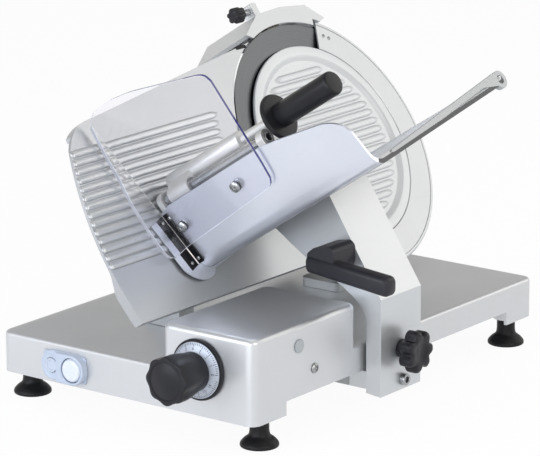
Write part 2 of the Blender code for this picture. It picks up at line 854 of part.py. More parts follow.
# Blade support: a round dish with a bearing boss on a leaning web with a foot on the base
dish_back = -SUPPORT_DEPTH
dish_floor = dish_back + SUPPORT_WALL
guard_back = -0.018
dish_rim = guard_back - GAP
boss_radius = BEARING_RADIUS + 0.0073
support_section = [
    (BEARING_RADIUS + GAP, boss_back),
    (boss_radius, boss_back),
    (boss_radius, dish_back),
    (SUPPORT_RADIUS, dish_back),
    (SUPPORT_RADIUS, dish_rim),
    (SUPPORT_RADIUS - 0.007, dish_rim),
    (SUPPORT_RADIUS - 0.007, dish_floor),
    (boss_radius, dish_floor),
    (boss_radius, boss_front),
    (BEARING_RADIUS + GAP, boss_front),
]
support = solid("blade_support", turned_ring(support_section, 28), "cast", head)
foot_top = deck + 0.010
web_points = []
for q_top, z_low, half in ((-0.080, None, 0.070), (None, deck + 0.004, 0.085)):
    ring = []
    for p, n in ((-half, dish_back), (half, dish_back), (half, dish_floor), (-half, dish_floor)):
        q = q_top
        if q is None:
            q = (z_low - BLADE_CENTRE.z - n * lean_s) / lean_c
        ring.append((p, q, n + (0.0004 if n == dish_back else -0.0004)))
    web_points.append(ring)
fuse(support, "web", hexahedron(web_points[1], web_points[0]), head)
web_n = 0.5 * (dish_back + dish_floor)
web_q = (deck - BLADE_CENTRE.z - web_n * lean_s) / lean_c
web_x = (BLADE_CENTRE + UPWARD * web_q + NORMAL * web_n).x
foot_plan = rounded_rect(
    web_x - 0.045,
    web_x + 0.030,
    BLADE_CENTRE_Y - 0.095,
    BLADE_CENTRE_Y + 0.095,
    0.010,
)
fuse(support, "foot", prism(foot_plan, deck, foot_top), root)
cut(
    support,
    "motor_hole",
    cylinder(0.009, dish_back - 0.01, dish_floor + 0.01),
    head,
    (MOTOR_P, MOTOR_Q, 0),
)

# Fixed guard ring round the covered part of the blade, and the deflector behind its open part
guard_radius = BLADE_RADIUS + GUARD_CLEAR
guard_front = 0.0012
guard_lip = -0.0009
guard_inner = SUPPORT_RADIUS - 0.008
guard_section = [
    (guard_inner, guard_back),
    (guard_radius - 0.001, guard_back),
    (guard_radius, guard_back + 0.002),
    (guard_radius, -0.0008),
    (guard_radius - 0.0015, guard_front),
    (COVER_RADIUS + 0.0016, guard_front),
    (COVER_RADIUS + 0.0016, guard_lip),
    (guard_radius - GUARD_WALL, guard_lip),
    (guard_radius - GUARD_WALL, guard_back + 0.004),
    (guard_inner, guard_back + 0.004),
]
solid("guard_ring", swept(guard_section, GUARD_FROM, GUARD_TO, 28), "cast", head)
deflector_section = [
    (guard_inner, guard_back),
    (BLADE_RADIUS - 0.010, guard_back),
    (BLADE_RADIUS - 0.010, guard_back + 0.003),
    (guard_inner, guard_back + 0.003),
]
solid(
    "slice_deflector",
    swept(deflector_section, GUARD_TO + 0.06, GUARD_FROM + 2 * math.pi - 0.06, 24),
    "sheet",
    head,
)

# Blade cover: a dished disc with ribs, held by a tie rod through the hollow shaft and a knob behind
DISH_FACE = -0.0026
cover_profile = [
    (COVER_DISH - 0.001, -0.0054),
    (COVER_DISH + 0.005, -0.0022),
    (COVER_DISH + 0.010, -0.0014),
    (COVER_RADIUS - 0.003, -0.0024),
    (COVER_RADIUS, -0.0030),
    (COVER_RADIUS, -0.0010),
    (COVER_RADIUS - 0.003, 0.0004),
    (COVER_DISH + 0.010, 0.0010),
    (COVER_DISH + 0.006, 0.0006),
    (COVER_DISH, DISH_FACE),
]
cover = solid("blade_cover", turned(cover_profile, 34), "cast", head)
COVER_PITCH = 0.011
cover_ribs = []
for i in range(-7, 8):
    q = COVER_PITCH * i
    reach = COVER_DISH - 0.006
    half = math.sqrt(max(reach * reach - q * q, 0.0001))
    cover_ribs.append(rib(-half, half, q, DISH_FACE, RIB_WIDTH, RIB_HEIGHT))
fuse(cover, "ribs", several(cover_ribs), head)
knob_top = boss_back - GAP
knob_end = knob_top - TIE_KNOB_LENGTH
tie = [(TIE_RADIUS, knob_end + 0.3 * TIE_KNOB_LENGTH), (TIE_RADIUS, -0.0054 - GAP)]
solid("cover_tie_rod", turned(tie, 12), "steel", head)
tie_levels = [
    (knob_end, TIE_KNOB_RADIUS - 0.003, 0.003),
    (knob_end + 0.002, TIE_KNOB_RADIUS, 0.004),
    (knob_top - 0.003, TIE_KNOB_RADIUS, 0.004),
    (knob_top, TIE_KNOB_RADIUS - 0.0005, 0.001),
]
tie_knob = solid("tie_knob", lobed_knob(tie_levels, 6, 4), "black", head)
cut(
    tie_knob,
    "bore",
    cylinder(TIE_RADIUS + GAP, knob_end + 0.3 * TIE_KNOB_LENGTH - GAP, knob_top + 0.01, 16),
    head,
)

# Drive: belt from the motor's pulley to the blade's, motor on the back of the support
motor_far = math.hypot(MOTOR_P, MOTOR_Q)
motor_way = math.atan2(MOTOR_Q, MOTOR_P)


def belt_outline(extra):
    big = PULLEY_RADIUS + extra
    small = MOTOR_PULLEY_RADIUS + extra
    lift = math.acos((big - small) / motor_far)
    start = motor_way + lift
    end = motor_way + 2 * math.pi - lift
    big /= math.cos((end - start) / 28)
    small /= math.cos((start - end + 2 * math.pi) / 16)
    return arc(big, start, end, 14) + arc(small, end - 2 * math.pi, start, 8, MOTOR_P, MOTOR_Q)


solid(
    "drive_belt",
    band(belt_outline(GAP + BELT_THICK), belt_outline(GAP), pulley_back + 0.0024, pulley_front - 0.0024),
    "rubber",
    head,
)
motor_at = (MOTOR_P, MOTOR_Q, 0)
MOTOR_SHAFT = 0.005
solid(
    "motor_pulley",
    turned_ring(pulley_section(MOTOR_SHAFT + GAP, MOTOR_PULLEY_RADIUS), 12),
    "steel",
    head,
    motor_at,
)
motor_front = dish_back - GAP
shaft_root = motor_front - 0.009
solid("motor_shaft", cylinder(MOTOR_SHAFT, shaft_root, pulley_front - 0.0005, 12), "steel", head, motor_at)
motor_back = motor_front - MOTOR_LENGTH
motor = [
    (MOTOR_SHAFT + GAP, shaft_root - GAP),
    (MOTOR_SHAFT + GAP, motor_front),
    (MOTOR_RADIUS, motor_front),
]
FIN_COUNT = 2
fin_pitch = (MOTOR_LENGTH - 0.022) / FIN_COUNT
for i in range(FIN_COUNT):
    z = motor_front - 0.008 - fin_pitch * i
    motor += [
        (MOTOR_RADIUS, z),
        (MOTOR_RADIUS - 0.004, z - 0.001),
        (MOTOR_RADIUS - 0.004, z - fin_pitch + 0.004),
        (MOTOR_RADIUS, z - fin_pitch + 0.003),
    ]
motor += [(MOTOR_RADIUS, motor_back + 0.010), (MOTOR_RADIUS - 0.010, motor_back)]
solid("motor_body", turned(motor, 14), "cast", head, motor_at)

# Sharpener: hood over the top of the blade, on a post from the support, with two stones and a lobed knob
step_angle = math.radians(66.5)
step_radius = guard_radius + 0.0015
sharp_arc = BLADE_RADIUS + SHARP_CLEAR
sharp_top = BLADE_RADIUS + SHARP_HEIGHT
hood = arc(sharp_arc, math.radians(110.0), step_angle, 10)
hood += arc(step_radius, step_angle, math.radians(62.0), 2)
hood += [
    (SHARP_RIGHT, sharp_top - 0.0255),
    (SHARP_RIGHT - 0.024, sharp_top - 0.004),
    (0.017, sharp_top + 0.001),
]
hood += [(-0.028, sharp_top - 0.001), (-SHARP_LEFT, sharp_top - 0.0215)]
hood.reverse()
sharpener = solid("sharpener_cover", prism(hood, SHARP_BACK, SHARP_FRONT), "cast", head)
roof = sharp_top - SHARP_WALL
hood_inside = [
    (-SHARP_LEFT + 0.012, sharp_arc - 0.022),
    (SHARP_RIGHT - 0.027, sharp_arc - 0.022),
    (SHARP_RIGHT - 0.0255, sharp_arc),
    (SHARP_RIGHT - 0.009, sharp_arc - 0.0045),
    (SHARP_RIGHT - 0.0255, roof - 0.0040),
    (0.017, roof + 0.0008),
    (-0.027, roof - 0.0012),
    (-SHARP_LEFT + 0.0045, sharp_arc - 0.0035),
]
cut(sharpener, "inside", prism(hood_inside, SHARP_BACK + SHARP_WALL, SHARP_FRONT - SHARP_WALL), head)
EAR_P = -0.030
ear_q = sharp_top + 0.006
fuse(
    sharpener,
    "ear",
    prism(
        rounded_rect(EAR_P, EAR_P + 0.010, sharp_top - 0.004, sharp_top + 0.014, 0.003),
        -0.014,
        SHARP_FRONT - 0.0005,
    ),
    head,
)
sharp_knob = [
    (GAP, 0.004, 0.0),
    (0.012, 0.004, 0.0),
    (0.0125, 0.0085, 0.001),
    (0.014, 0.0095, 0.0022),
    (0.027, 0.0095, 0.0022),
    (0.029, 0.0080, 0.0022),
]
TOWARDS_FRONT = (Vector((0, 1, 0)), Vector((0, 0, -1)))
solid("sharpener_knob", lobed_knob(sharp_knob, 6, 4), "black", head, (EAR_P, ear_q, -0.006), TOWARDS_FRONT)
post_low = SUPPORT_RADIUS + GAP
solid(
    "sharpener_post",
    box(-0.012, 0.012, post_low, roof - 0.0008 - 2 * GAP, dish_back, dish_floor),
    "cast",
    head,
)
body_back = dish_floor + GAP
body_front = body_back + 0.013
solid(
    "sharpener_body",
    prism(rounded_rect(-0.030, 0.030, sharp_arc + 0.0015, roof - 0.0035, 0.003), body_back, body_front),
    "cast",
    head,
)
stone_far = BLADE_RADIUS + STONE_RADIUS + 0.0008
for name, p in (("stone_grinding", -0.018), ("stone_deburring", 0.018)):
    q = math.sqrt(stone_far * stone_far - p * p)
    stone = [
        (STONE_RADIUS, body_front + GAP),
        (STONE_RADIUS, body_front + 0.009),
        (STONE_RADIUS - 0.002, body_front + 0.011),
    ]
    solid(name, turned(stone, 14), "stone", head, (p, q, 0))

# Food tray: one sheet, its wall to the operator's side, bent into the floor, with a turned-up far edge
tilt = CARRIAGE_LEAN - FLOOR_RISE
bend_centre_w = TRAY_BEND * math.cos(tilt) - 0.008
bend_turn = 0.5 * math.pi - tilt


def tray_profile(height):
    """Points of the outer face with the direction into the tray, from the wall's top to the far lip."""
    row = []
    for i in range(4):
        row.append(((0.0, height + (bend_centre_w - height) * i / 4), (1.0, 0.0)))
    for i in range(6):
        a = bend_turn * i / 5
        x, y = math.cos(a), math.sin(a)
        row.append(((TRAY_BEND - TRAY_BEND * x, bend_centre_w - TRAY_BEND * y), (x, y)))
    (v, w), (x, y) = row[-1]
    along = (y, -x)
    for share in (0.5, 1.0):
        row.append(((v + along[0] * TRAY_FLOOR * share, w + along[1] * TRAY_FLOOR * share), (x, y)))
    (v, w), (x, y) = row[-1]
    lip = 0.009
    centre = (v + x * lip, w + y * lip)
    for i in range(1, 5):
        a = math.radians(25.0) * i
        nx = x * math.cos(a) - y * math.sin(a)
        ny = x * math.sin(a) + y * math.cos(a)
        row.append(((centre[0] - nx * lip, centre[1] - ny * lip), (nx, ny)))
    return row


def tray_sheet():
    stations = [
        (TRAY_START, TRAY_START, WALL_HEIGHT - 0.004),
        (0.020, 0.020, WALL_HEIGHT),
        (0.090, 0.090, WALL_HEIGHT + 0.0005),
        (0.165, 0.165, WALL_HEIGHT + 0.001),
        (0.190, 0.190, WALL_HEIGHT - 0.002),
        (TRAY_END - 0.026, TRAY_END - 0.026, WALL_HEIGHT - 0.013),
        (TRAY_END - 0.018, TRAY_END - 0.018, WALL_HEIGHT - 0.016),
        (TRAY_END - 0.010, TRAY_END - 0.012, WALL_HEIGHT - 0.0205),
        (TRAY_END - 0.004, TRAY_END - 0.008, WALL_HEIGHT - 0.027),
        (TRAY_END, TRAY_END - 0.006, WALL_HEIGHT - 0.036),
    ]
    points = []
    for low_n, top_n, height in stations:
        row = tray_profile(height)
        outer = []
        inner = []
        for i, ((v, w), (x, y)) in enumerate(row):
            share = min(i, 4) / 4
            n = top_n + (low_n - top_n) * share
            outer.append((v, w, n))
            inner.append((v + x * TRAY_SHEET, w + y * TRAY_SHEET, n))
        points.append(outer + inner[::-1])
    return loft(points)


food_tray = solid("food_tray", tray_sheet(), "sheet", tray)
rim_row = tray_profile(WALL_HEIGHT - 0.038)
rim_rings = []
for n in (TRAY_END - TRAY_RIM_WIDTH, TRAY_END - 0.0002):
    outer = []
    inner = []
    for i, ((v, w), (x, y)) in enumerate(rim_row):
        deep = TRAY_SHEET + (TRAY_RIM - TRAY_SHEET) * min(1.0, i / 7)
        outer.append((v + x * 0.3 * TRAY_SHEET, w + y * 0.3 * TRAY_SHEET, n))
        inner.append((v + x * deep, w + y * deep, n))
    rim_rings.append(outer + inner[::-1])
fuse(food_tray, "rim", loft(rim_rings), tray)

# Carriage arm: wide under the tray, narrowing to an upright plate beside the base, its foot under the skirt
(v_end, w_end), into_tray = tray_profile(WALL_HEIGHT)[9]
under_p = tray_p + v_end * wall_c - w_end * wall_s
under_q = tray_q + v_end * wall_s + w_end * wall_c


def under_floor(y):
    """Height up the cutting plane of the tray floor's underside, less the seat's gap."""
    return under_q + BLADE_CENTRE_UP + (y - BLADE_CENTRE_Y - under_p) * math.tan(FLOOR_RISE) - GAP


ARM_TOP_IN = 0.044
arm_face_n = (ARM_OUT - PLANE_POINT.x) * lean_c + (ARM_BEND_Z - PLANE_POINT.z) * lean_s
arm_rings = []
for y in (ARM_Y, ARM_Y + ARM_WIDTH):
    top_out = in_base(arm_face_n, y, under_floor(y))
    top_in = in_base(ARM_TOP_IN, y, under_floor(y))
    start = Vector((-0.0698, 0, 0.1258))
    corner = Vector((ARM_IN, 0, 0.096))
    end = Vector((ARM_IN, 0, 0.070))
    ring = [(ARM_OUT, ARM_BOTTOM), (ARM_OUT, ARM_BEND_Z), (top_out.x, top_out.z), (top_in.x, top_in.z)]
    for i in range(8):
        t = i / 7
        point = start * (1 - t) ** 2 + corner * 2 * t * (1 - t) + end * t * t
        ring.append((point.x, point.z))
    ring.append((ARM_IN, ARM_BOTTOM + 0.002))
    arm_rings.append([(x, z, -y) for x, z in ring])
arm = solid("carriage_arm", loft(arm_rings), "cast", root, (0, 0, 0), FACING_FRONT, 25.0)
BLOCK_RIGHT = -0.026
arm_mid = ARM_Y + 0.5 * ARM_WIDTH
foot_half = 0.027
fuse(
    arm,
    "foot",
    box(
        BLOCK_RIGHT + GAP,
        ARM_IN + 0.004,
        arm_mid - foot_half,
        arm_mid + foot_half,
        -0.0085,
        SKIRT_RISE - 0.004,
    ),
    root,
)
star_at = (ARM_OUT, arm_mid, STAR_Z)
STUD = 0.004
cut(arm, "stud_hole", cylinder(STUD + GAP, -0.012, 0.01, 16), root, star_at, FACING_RIGHT)
arm_screw_at = (ARM_OUT, arm_mid + 0.004, 0.0005)
cut(arm, "screw_hole", cylinder(0.004 + GAP, -0.012, 0.01, 16), root, arm_screw_at, FACING_RIGHT)

# Star knob and socket screw on the arm's outer face
star_levels = [
    (-0.011, STUD, 0.0),
    (GAP, STUD, 0.0),
    (GAP + 0.0001, 0.0105, 0.0),
    (0.010, 0.0105, 0.0),
    (0.0115, STAR_RADIUS - 0.002, 0.005),
    (0.014, STAR_RADIUS, 0.006),
    (0.025, STAR_RADIUS, 0.006),
    (0.028, STAR_RADIUS - 0.003, 0.006),
]
solid("star_knob", lobed_knob(star_levels, 7, 4), "black", root, star_at, FACING_RIGHT)
arm_screw = [
    (0.004, -0.011),
    (0.004, GAP),
    (0.0068, GAP),
    (0.0068, 0.0052),
    (0.0062, 0.006),
    (0.0035, 0.006),
    (0.0035, 0.003),
]
solid("arm_screw", turned(arm_screw, 16), "steel", root, arm_screw_at, FACING_RIGHT)

# Push handle: a block on the arm's front face and a grip along X
handle_back = ARM_Y - GAP
GRIP_DEPTH = 0.021
grip_front = HANDLE_Y - 0.5 * GRIP_DEPTH
grip_back = HANDLE_Y + 0.5 * GRIP_DEPTH
GRIP_LEFT = -0.046
GRIP_RIGHT = 0.061
grip_left_mid = 0.1375
grip_right_mid = 0.1270


def grip_ring(x, mid, half_y, half_z):
    return [(x, HANDLE_Y + y, mid + z) for y, z in rounded_rect(-half_y, half_y, -half_z, half_z, 0.006, 3)]


def grip_mid(x):
    return grip_left_mid + (grip_right_mid - grip_left_mid) * (x - GRIP_LEFT) / (GRIP_RIGHT - GRIP_LEFT)


half = 0.5 * GRIP_DEPTH
grip_rings = [
    grip_ring(GRIP_LEFT, grip_left_mid, half - 0.002, 0.0075),
    grip_ring(GRIP_LEFT + 0.003, grip_mid(GRIP_LEFT + 0.003), half, 0.0095),
    grip_ring(GRIP_RIGHT - 0.005, grip_mid(GRIP_RIGHT - 0.005), half, 0.0105),
    grip_ring(GRIP_RIGHT, grip_right_mid, half - 0.003, 0.0075),
]
handle = solid("push_handle", loft(grip_rings), "black", root)
block_right = GRIP_LEFT + HANDLE_BLOCK
block_outline = [
    (GRIP_LEFT + 0.001, grip_left_mid - 0.004),
    (block_right - 0.006, grip_mid(block_right) - 0.006),
    (block_right, grip_mid(block_right) + 0.004),
    (block_right, grip_left_mid + HANDLE_RISE - 0.005),
    (block_right - 0.006, grip_left_mid + HANDLE_RISE),
    (GRIP_LEFT + 0.010, grip_left_mid + HANDLE_RISE - 0.004),
    (GRIP_LEFT + 0.001, grip_left_mid + 0.5 * HANDLE_RISE),
]
fuse(
    handle,
    "block",
    prism(block_outline, -handle_back, -grip_front - 0.003),
    root,
    (0, 0, 0),
    FACING_FRONT,
)

# Slide block on the slide shaft, with an arm to the roller under the guide rail
block_left = SLIDE_X - 0.019
block_low = -0.0085
block_top = SLIDE_Z + 0.013
block = solid(
    "slide_block",
    box(block_left, BLOCK_RIGHT, arm_mid - foot_half, arm_mid + foot_half, block_low, block_top),
    "cast",
    root,
)
roller_z = RAIL_Z - ROLLER_RADIUS - GAP
outrigger_end = RAIL_X + rail_half + 0.004
fuse(
    block,
    "outrigger",
    box(
        outrigger_end,
        block_left + 0.004,
        arm_mid - 0.009,
        arm_mid + 0.009,
        roller_z - 0.008,
        roller_z + 0.005,
    ),
    root,
)
PIN = 0.003
pin_end = RAIL_X - rail_half
fuse(
    block,
    "pin",
    cylinder(PIN, pin_end, outrigger_end + 0.003, 12),
    root,
    (0, arm_mid, roller_z),
    FACING_RIGHT,
)
cut(block, "bore", cylinder(SLIDE_RADIUS + GAP, -0.1, 0.1, 20), root, (SLIDE_X, arm_mid, SLIDE_Z), ALONG_Y)
roller_section = [
    (PIN + GAP, pin_end + 0.0005),
    (ROLLER_RADIUS - 0.0008, pin_end + 0.0005),
    (ROLLER_RADIUS, pin_end + 0.0013),
    (ROLLER_RADIUS, pin_end + RAIL_WIDTH - 0.0013),
    (ROLLER_RADIUS - 0.0008, pin_end + RAIL_WIDTH - 0.0005),
    (PIN + GAP, pin_end + RAIL_WIDTH - 0.0005),
]
solid(
    "carriage_roller",
    turned_ring(roller_section, 12),
    "steel",
    root,
    (0, arm_mid, roller_z),
    FACING_RIGHT,
)

# Clear hand guard: one bent sheet on the wall's outer face, with a tapering return beside the gauge plate
ALONG_V = (Vector((0, 1, 0)), Vector((0, 0, 1)))
strip_face = -GAP - STRIP_SHEET
guard_in = strip_face - GAP
guard_out = guard_in - GUARD_SHEET
RETURN_N = TRAY_START
GUARD_LOW = 0.027
GUARD_TOP = 0.205
sheet_outline = [(GUARD_LOW, RETURN_N + 0.0005)]
sheet_outline += [
    (GUARD_TOP - 0.012, RETURN_N + 0.0005),
    (GUARD_TOP - 0.003, RETURN_N + 0.004),
    (GUARD_TOP, RETURN_N + 0.014),
]
sheet_outline += [(GUARD_TOP + 0.001, 0.30 * GUARD_REACH), (GUARD_TOP - 0.003, 0.47 * GUARD_REACH)]
sheet_outline += [(GUARD_FAR_TOP, GUARD_REACH - 0.014), (GUARD_FAR_TOP - 0.007, GUARD_REACH - 0.004)]
sheet_outline += [(GUARD_FAR_TOP - 0.018, GUARD_REACH), (GUARD_FAR_LOW + 0.012, GUARD_REACH - 0.015)]
sheet_outline += [(GUARD_FAR_LOW + 0.004, GUARD_REACH - 0.018), (GUARD_FAR_LOW, GUARD_REACH - 0.026)]
hand_guard = solid(
    "hand_guard",
    prism(sheet_outline, guard_out, guard_in),
    "clear",
    tray,
    (0, 0, 0),
    ALONG_V,
)
RETURN_WIDTH = 0.0395
return_outline = [
    (guard_in - 0.0002, GUARD_LOW + 0.0004),
    (-RETURN_WIDTH + 0.012, GUARD_LOW + 0.0004),
    (-RETURN_WIDTH + 0.004, GUARD_LOW + 0.004),
    (-RETURN_WIDTH, GUARD_LOW + 0.014),
    (0.92 * -RETURN_WIDTH, 0.385 * GUARD_TOP),
    (0.81 * -RETURN_WIDTH, 0.512 * GUARD_TOP),
    (0.58 * -RETURN_WIDTH, 0.644 * GUARD_TOP),
    (0.456 * -RETURN_WIDTH, 0.756 * GUARD_TOP),
    (guard_out - 0.0012, GUARD_TOP - 0.014),
    (guard_in - 0.0002, GUARD_TOP - 0.014),
]
fuse(hand_guard, "return", prism(return_outline[::-1], RETURN_N, RETURN_N + GUARD_SHEET), tray)
guard_screw_spots = (("guard_screw_upper", 0.0557, 0.114), ("guard_screw_lower", 0.0490, 0.0215))
SCREW_STEM = 0.0026
OUT_OF_WALL = (Vector((0, 1, 0)), Vector((0, 0, -1)))
for name, w, n in guard_screw_spots:
    cut(
        hand_guard,
        f"hole_{name}",
        cylinder(SCREW_STEM + GAP, -0.02, 0.02, 16),
        tray,
        (0, w, n),
        OUT_OF_WALL,
    )
    spool = [
        (0.006, GAP),
        (0.006, -guard_in - GAP),
        (SCREW_STEM, -guard_in - GAP),
        (SCREW_STEM, -guard_out + GAP),
        (0.0062, -guard_out + GAP),
        (0.0058, -guard_out + 0.0018),
        (0.0035, -guard_out + 0.0030),
    ]
    solid(name, turned(spool, 12), "steel", tray, (0, w, n), OUT_OF_WALL)

# Corner strip: a folded angle between the wall's end and the guard's return
strip_low = 0.004
strip_top = 0.070
strip_n = RETURN_N - GAP - STRIP_SHEET
strip_outline = [
    (-GAP, strip_n),
    (-GAP, RETURN_N + 0.0085),
    (strip_face, RETURN_N + 0.0085),
    (strip_face, RETURN_N - GAP),
    (-0.017, RETURN_N - GAP),
    (-0.017, strip_n),
]
ALONG_W = (Vector((0, 0, 1)), Vector((1, 0, 0)))
solid(
    "corner_strip",
    prism([(n, v) for v, n in strip_outline], strip_low, strip_top),
    "black",
    tray,
    (0, 0, 0),
    ALONG_W,
)

# Pusher: chrome rod in two brackets on the wall, sliding collar, swinging arm with a toothed plate, grip
rod = [
    (ROD_RADIUS - 0.001, 0.0050),
    (ROD_RADIUS, 0.0060),
    (ROD_RADIUS, ROD_END - 0.001),
    (ROD_RADIUS - 0.001, ROD_END),
]
rod_at = (ROD_V, ROD_W, 0)
solid("pusher_rod", turned(rod, 18), "steel", tray, rod_at)
EYE = 0.010
wall_inside = TRAY_SHEET + GAP
bracket_outline = [(wall_inside, 0.048), (wall_inside + 0.006, 0.048)]
bracket_outline += arc(EYE, math.radians(-117.0), math.radians(184.0), 16, ROD_V, ROD_W)
bracket_outline += [(wall_inside, ROD_W - 0.006)]
for name, start, thick in (("rod_bracket_near", 0.0055, 0.007), ("rod_bracket_far", ROD_END - 0.012, 0.010)):
    bracket = solid(name, prism(bracket_outline, start, start + thick), "sheet", tray)
    cut(bracket, "bore", cylinder(ROD_RADIUS + GAP, start - 0.01, start + 0.02, 18), tray, rod_at)
COLLAR_START = 0.0215
COLLAR_LENGTH = 0.034
COLLAR_RADIUS = 0.0082
collar = [
    (ROD_RADIUS + GAP, COLLAR_START),
    (COLLAR_RADIUS + 0.0015, COLLAR_START),
    (COLLAR_RADIUS + 0.0015, COLLAR_START + 0.0018),
    (COLLAR_RADIUS, COLLAR_START + 0.0018),
    (COLLAR_RADIUS, COLLAR_START + COLLAR_LENGTH),
    (ROD_RADIUS + GAP, COLLAR_START + COLLAR_LENGTH),
]
solid("pusher_collar", turned_ring(collar, 14), "steel", tray, rod_at)
BODY_END = 0.132
SPIGOT = 0.005
stem_stop = 0.184
grip_at = (PUSHER_V, PUSHER_W, 0)
pusher_body = [
    (PUSHER_RADIUS - 0.003, PUSHER_START),
    (PUSHER_RADIUS, PUSHER_START + 0.003),
    (PUSHER_RADIUS, BODY_END - 0.004),
    (PUSHER_RADIUS - 0.004, BODY_END),
    (0.006, BODY_END),
    (0.006, stem_stop),
    (SPIGOT, stem_stop),
    (SPIGOT, stem_stop + 0.022),
]
pusher = solid("pusher_arm", turned(pusher_body, 18), "cast", tray, grip_at)
way = math.atan2(PUSHER_W - ROD_W, PUSHER_V - ROD_V)
lug = arc(0.0104, way + 0.5 * math.pi, way + 1.5 * math.pi, 12, ROD_V, ROD_W)
lug += arc(0.0085, way - 0.5 * math.pi, way + 0.5 * math.pi, 8, PUSHER_V, PUSHER_W)
lug_start = COLLAR_START + 0.0018 + GAP
lug_end = COLLAR_START + COLLAR_LENGTH - 0.001
pusher_eye = solid("pusher_eye", prism(lug, lug_start, lug_end), "cast", tray)
cut(pusher_eye, "saddle", cylinder(PUSHER_RADIUS + GAP, 0, 0.1, 24), tray, grip_at)
cut(pusher_eye, "bore", cylinder(COLLAR_RADIUS + GAP, 0, 0.1, 18), tray, rod_at)
drop = math.tan(tilt)
press_outline = [
    (0.027, -0.002),
    (0.150, -0.002 - 0.123 * drop),
    (0.152, 0.0),
    (0.150, 0.052),
    (0.138, 0.066),
    (0.050, 0.086),
    (0.036, 0.094),
    (0.027, 0.088),
]
plate_n = PUSHER_START + 0.001
fuse(pusher, "plate", prism(press_outline, plate_n, plate_n + 0.004), tray)
teeth = []
TOOTH_COUNT = 9
for i in range(TOOTH_COUNT):
    v = 0.036 + 0.0125 * i
    teeth.append(
        hexahedron(
            [
                (v - 0.0005, 0.002 - drop * (v - 0.027), plate_n - 0.0025),
                (v + 0.0005, 0.002 - drop * (v - 0.027), plate_n - 0.0025),
                (v + 0.0005, 0.046, plate_n - 0.0025),
                (v - 0.0005, 0.046, plate_n - 0.0025),
            ],
            [
                (v - 0.003, 0.0 - drop * (v - 0.027), plate_n + 0.001),
                (v + 0.003, 0.0 - drop * (v - 0.027), plate_n + 0.001),
                (v + 0.003, 0.048, plate_n + 0.001),
                (v - 0.003, 0.048, plate_n + 0.001),
            ],
        )
    )
fuse(pusher, "teeth", several(teeth), tray)
flange_back_n = stem_stop + GAP
flange_section = [
    (SPIGOT + GAP, flange_back_n),
    (PUSHER_FLANGE - 0.001, flange_back_n),
    (PUSHER_FLANGE, flange_back_n + 0.0015),
    (PUSHER_FLANGE - 0.0015, flange_back_n + 0.0045),
    (PUSHER_GRIP, flange_back_n + 0.006),
    (SPIGOT + GAP, flange_back_n + 0.006),
]
solid("pusher_flange", turned_ring(flange_section, 20), "black", tray, grip_at)
grip_start = flange_back_n + 0.006 + GAP
grip_end = grip_start + PUSHER_GRIP_LENGTH
grip_floor = stem_stop + 0.022 + GAP
grip = [
    (SPIGOT + GAP, grip_floor),
    (SPIGOT + GAP, grip_start),
    (PUSHER_GRIP, grip_start),
    (PUSHER_GRIP, grip_end - 0.0015),
    (PUSHER_GRIP - 0.0015, grip_end),
]
solid("pusher_handle", turned(grip, 24), "black", tray, grip_at)

# The origin: the middle of the bounding box, on the surface that the feet stand on
bpy.context.view_layer.update()
graph = bpy.context.evaluated_depsgraph_get()
corners = []
for obj in bpy.context.scene.objects:
    if obj.type == "MESH" and not obj.hide_render:
        done = obj.evaluated_get(graph)
        mesh = done.to_mesh()
        corners.extend([done.matrix_world @ v.co for v in mesh.vertices])
        done.to_mesh_clear()
low = [min(c[k] for c in corners) for k in range(3)]
high = [max(c[k] for c in corners) for k in range(3)]
root.location = (-0.5 * (low[0] + high[0]), -0.5 * (low[1] + high[1]), -low[2])
bpy.context.view_layer.update()
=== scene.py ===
import json
import math

import bmesh
import bpy
from mathutils import Matrix, Vector


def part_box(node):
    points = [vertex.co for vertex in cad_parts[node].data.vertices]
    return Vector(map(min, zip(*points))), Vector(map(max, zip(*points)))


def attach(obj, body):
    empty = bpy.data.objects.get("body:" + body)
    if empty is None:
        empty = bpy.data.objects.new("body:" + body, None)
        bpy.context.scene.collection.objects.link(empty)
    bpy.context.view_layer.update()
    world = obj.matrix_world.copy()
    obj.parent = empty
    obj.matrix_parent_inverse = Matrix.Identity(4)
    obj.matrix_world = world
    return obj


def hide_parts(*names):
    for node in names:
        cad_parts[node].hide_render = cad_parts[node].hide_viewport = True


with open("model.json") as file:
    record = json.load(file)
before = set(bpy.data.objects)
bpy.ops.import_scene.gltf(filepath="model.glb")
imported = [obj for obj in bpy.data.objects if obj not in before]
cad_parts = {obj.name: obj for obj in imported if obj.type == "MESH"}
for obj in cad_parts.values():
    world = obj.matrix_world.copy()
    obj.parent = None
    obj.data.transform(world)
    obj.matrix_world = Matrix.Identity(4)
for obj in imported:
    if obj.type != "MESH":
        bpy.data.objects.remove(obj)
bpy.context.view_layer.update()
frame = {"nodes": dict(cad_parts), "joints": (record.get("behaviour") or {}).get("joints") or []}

# The view: a long lens about 3.6 m from the machine, from the operator's right and a little above.
# Its place is counted from the base casing's front right corner at the bottom of the legs.
base_low, base_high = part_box("base_casing")
base_corner = Vector((base_high.x, base_low.y, base_low.z))
SENSOR_MM = 36.0
PICTURE_WIDE_PIXELS = 540.0
LENS_PIXELS = 3426.94
stand = base_corner + Vector((2.0732, -2.6951, 1.1118))
turn = math.radians(37.28)
rise = math.radians(14.754)
roll = math.radians(-0.21)
back = Vector((math.sin(turn) * math.cos(rise), -math.cos(turn) * math.cos(rise), math.sin(rise)))
level = Vector((math.cos(turn), math.sin(turn), 0))
upright = back.cross(level)
right = level * math.cos(roll) + upright * math.sin(roll)
above = upright * math.cos(roll) - level * math.sin(roll)
lens = bpy.data.cameras.new("view")
lens.sensor_fit = "HORIZONTAL"
lens.sensor_width = SENSOR_MM
lens.lens = LENS_PIXELS * SENSOR_MM / PICTURE_WIDE_PIXELS
lens.clip_end = 30.0
camera = bpy.data.objects.new("view", lens)
bpy.context.scene.collection.objects.link(camera)
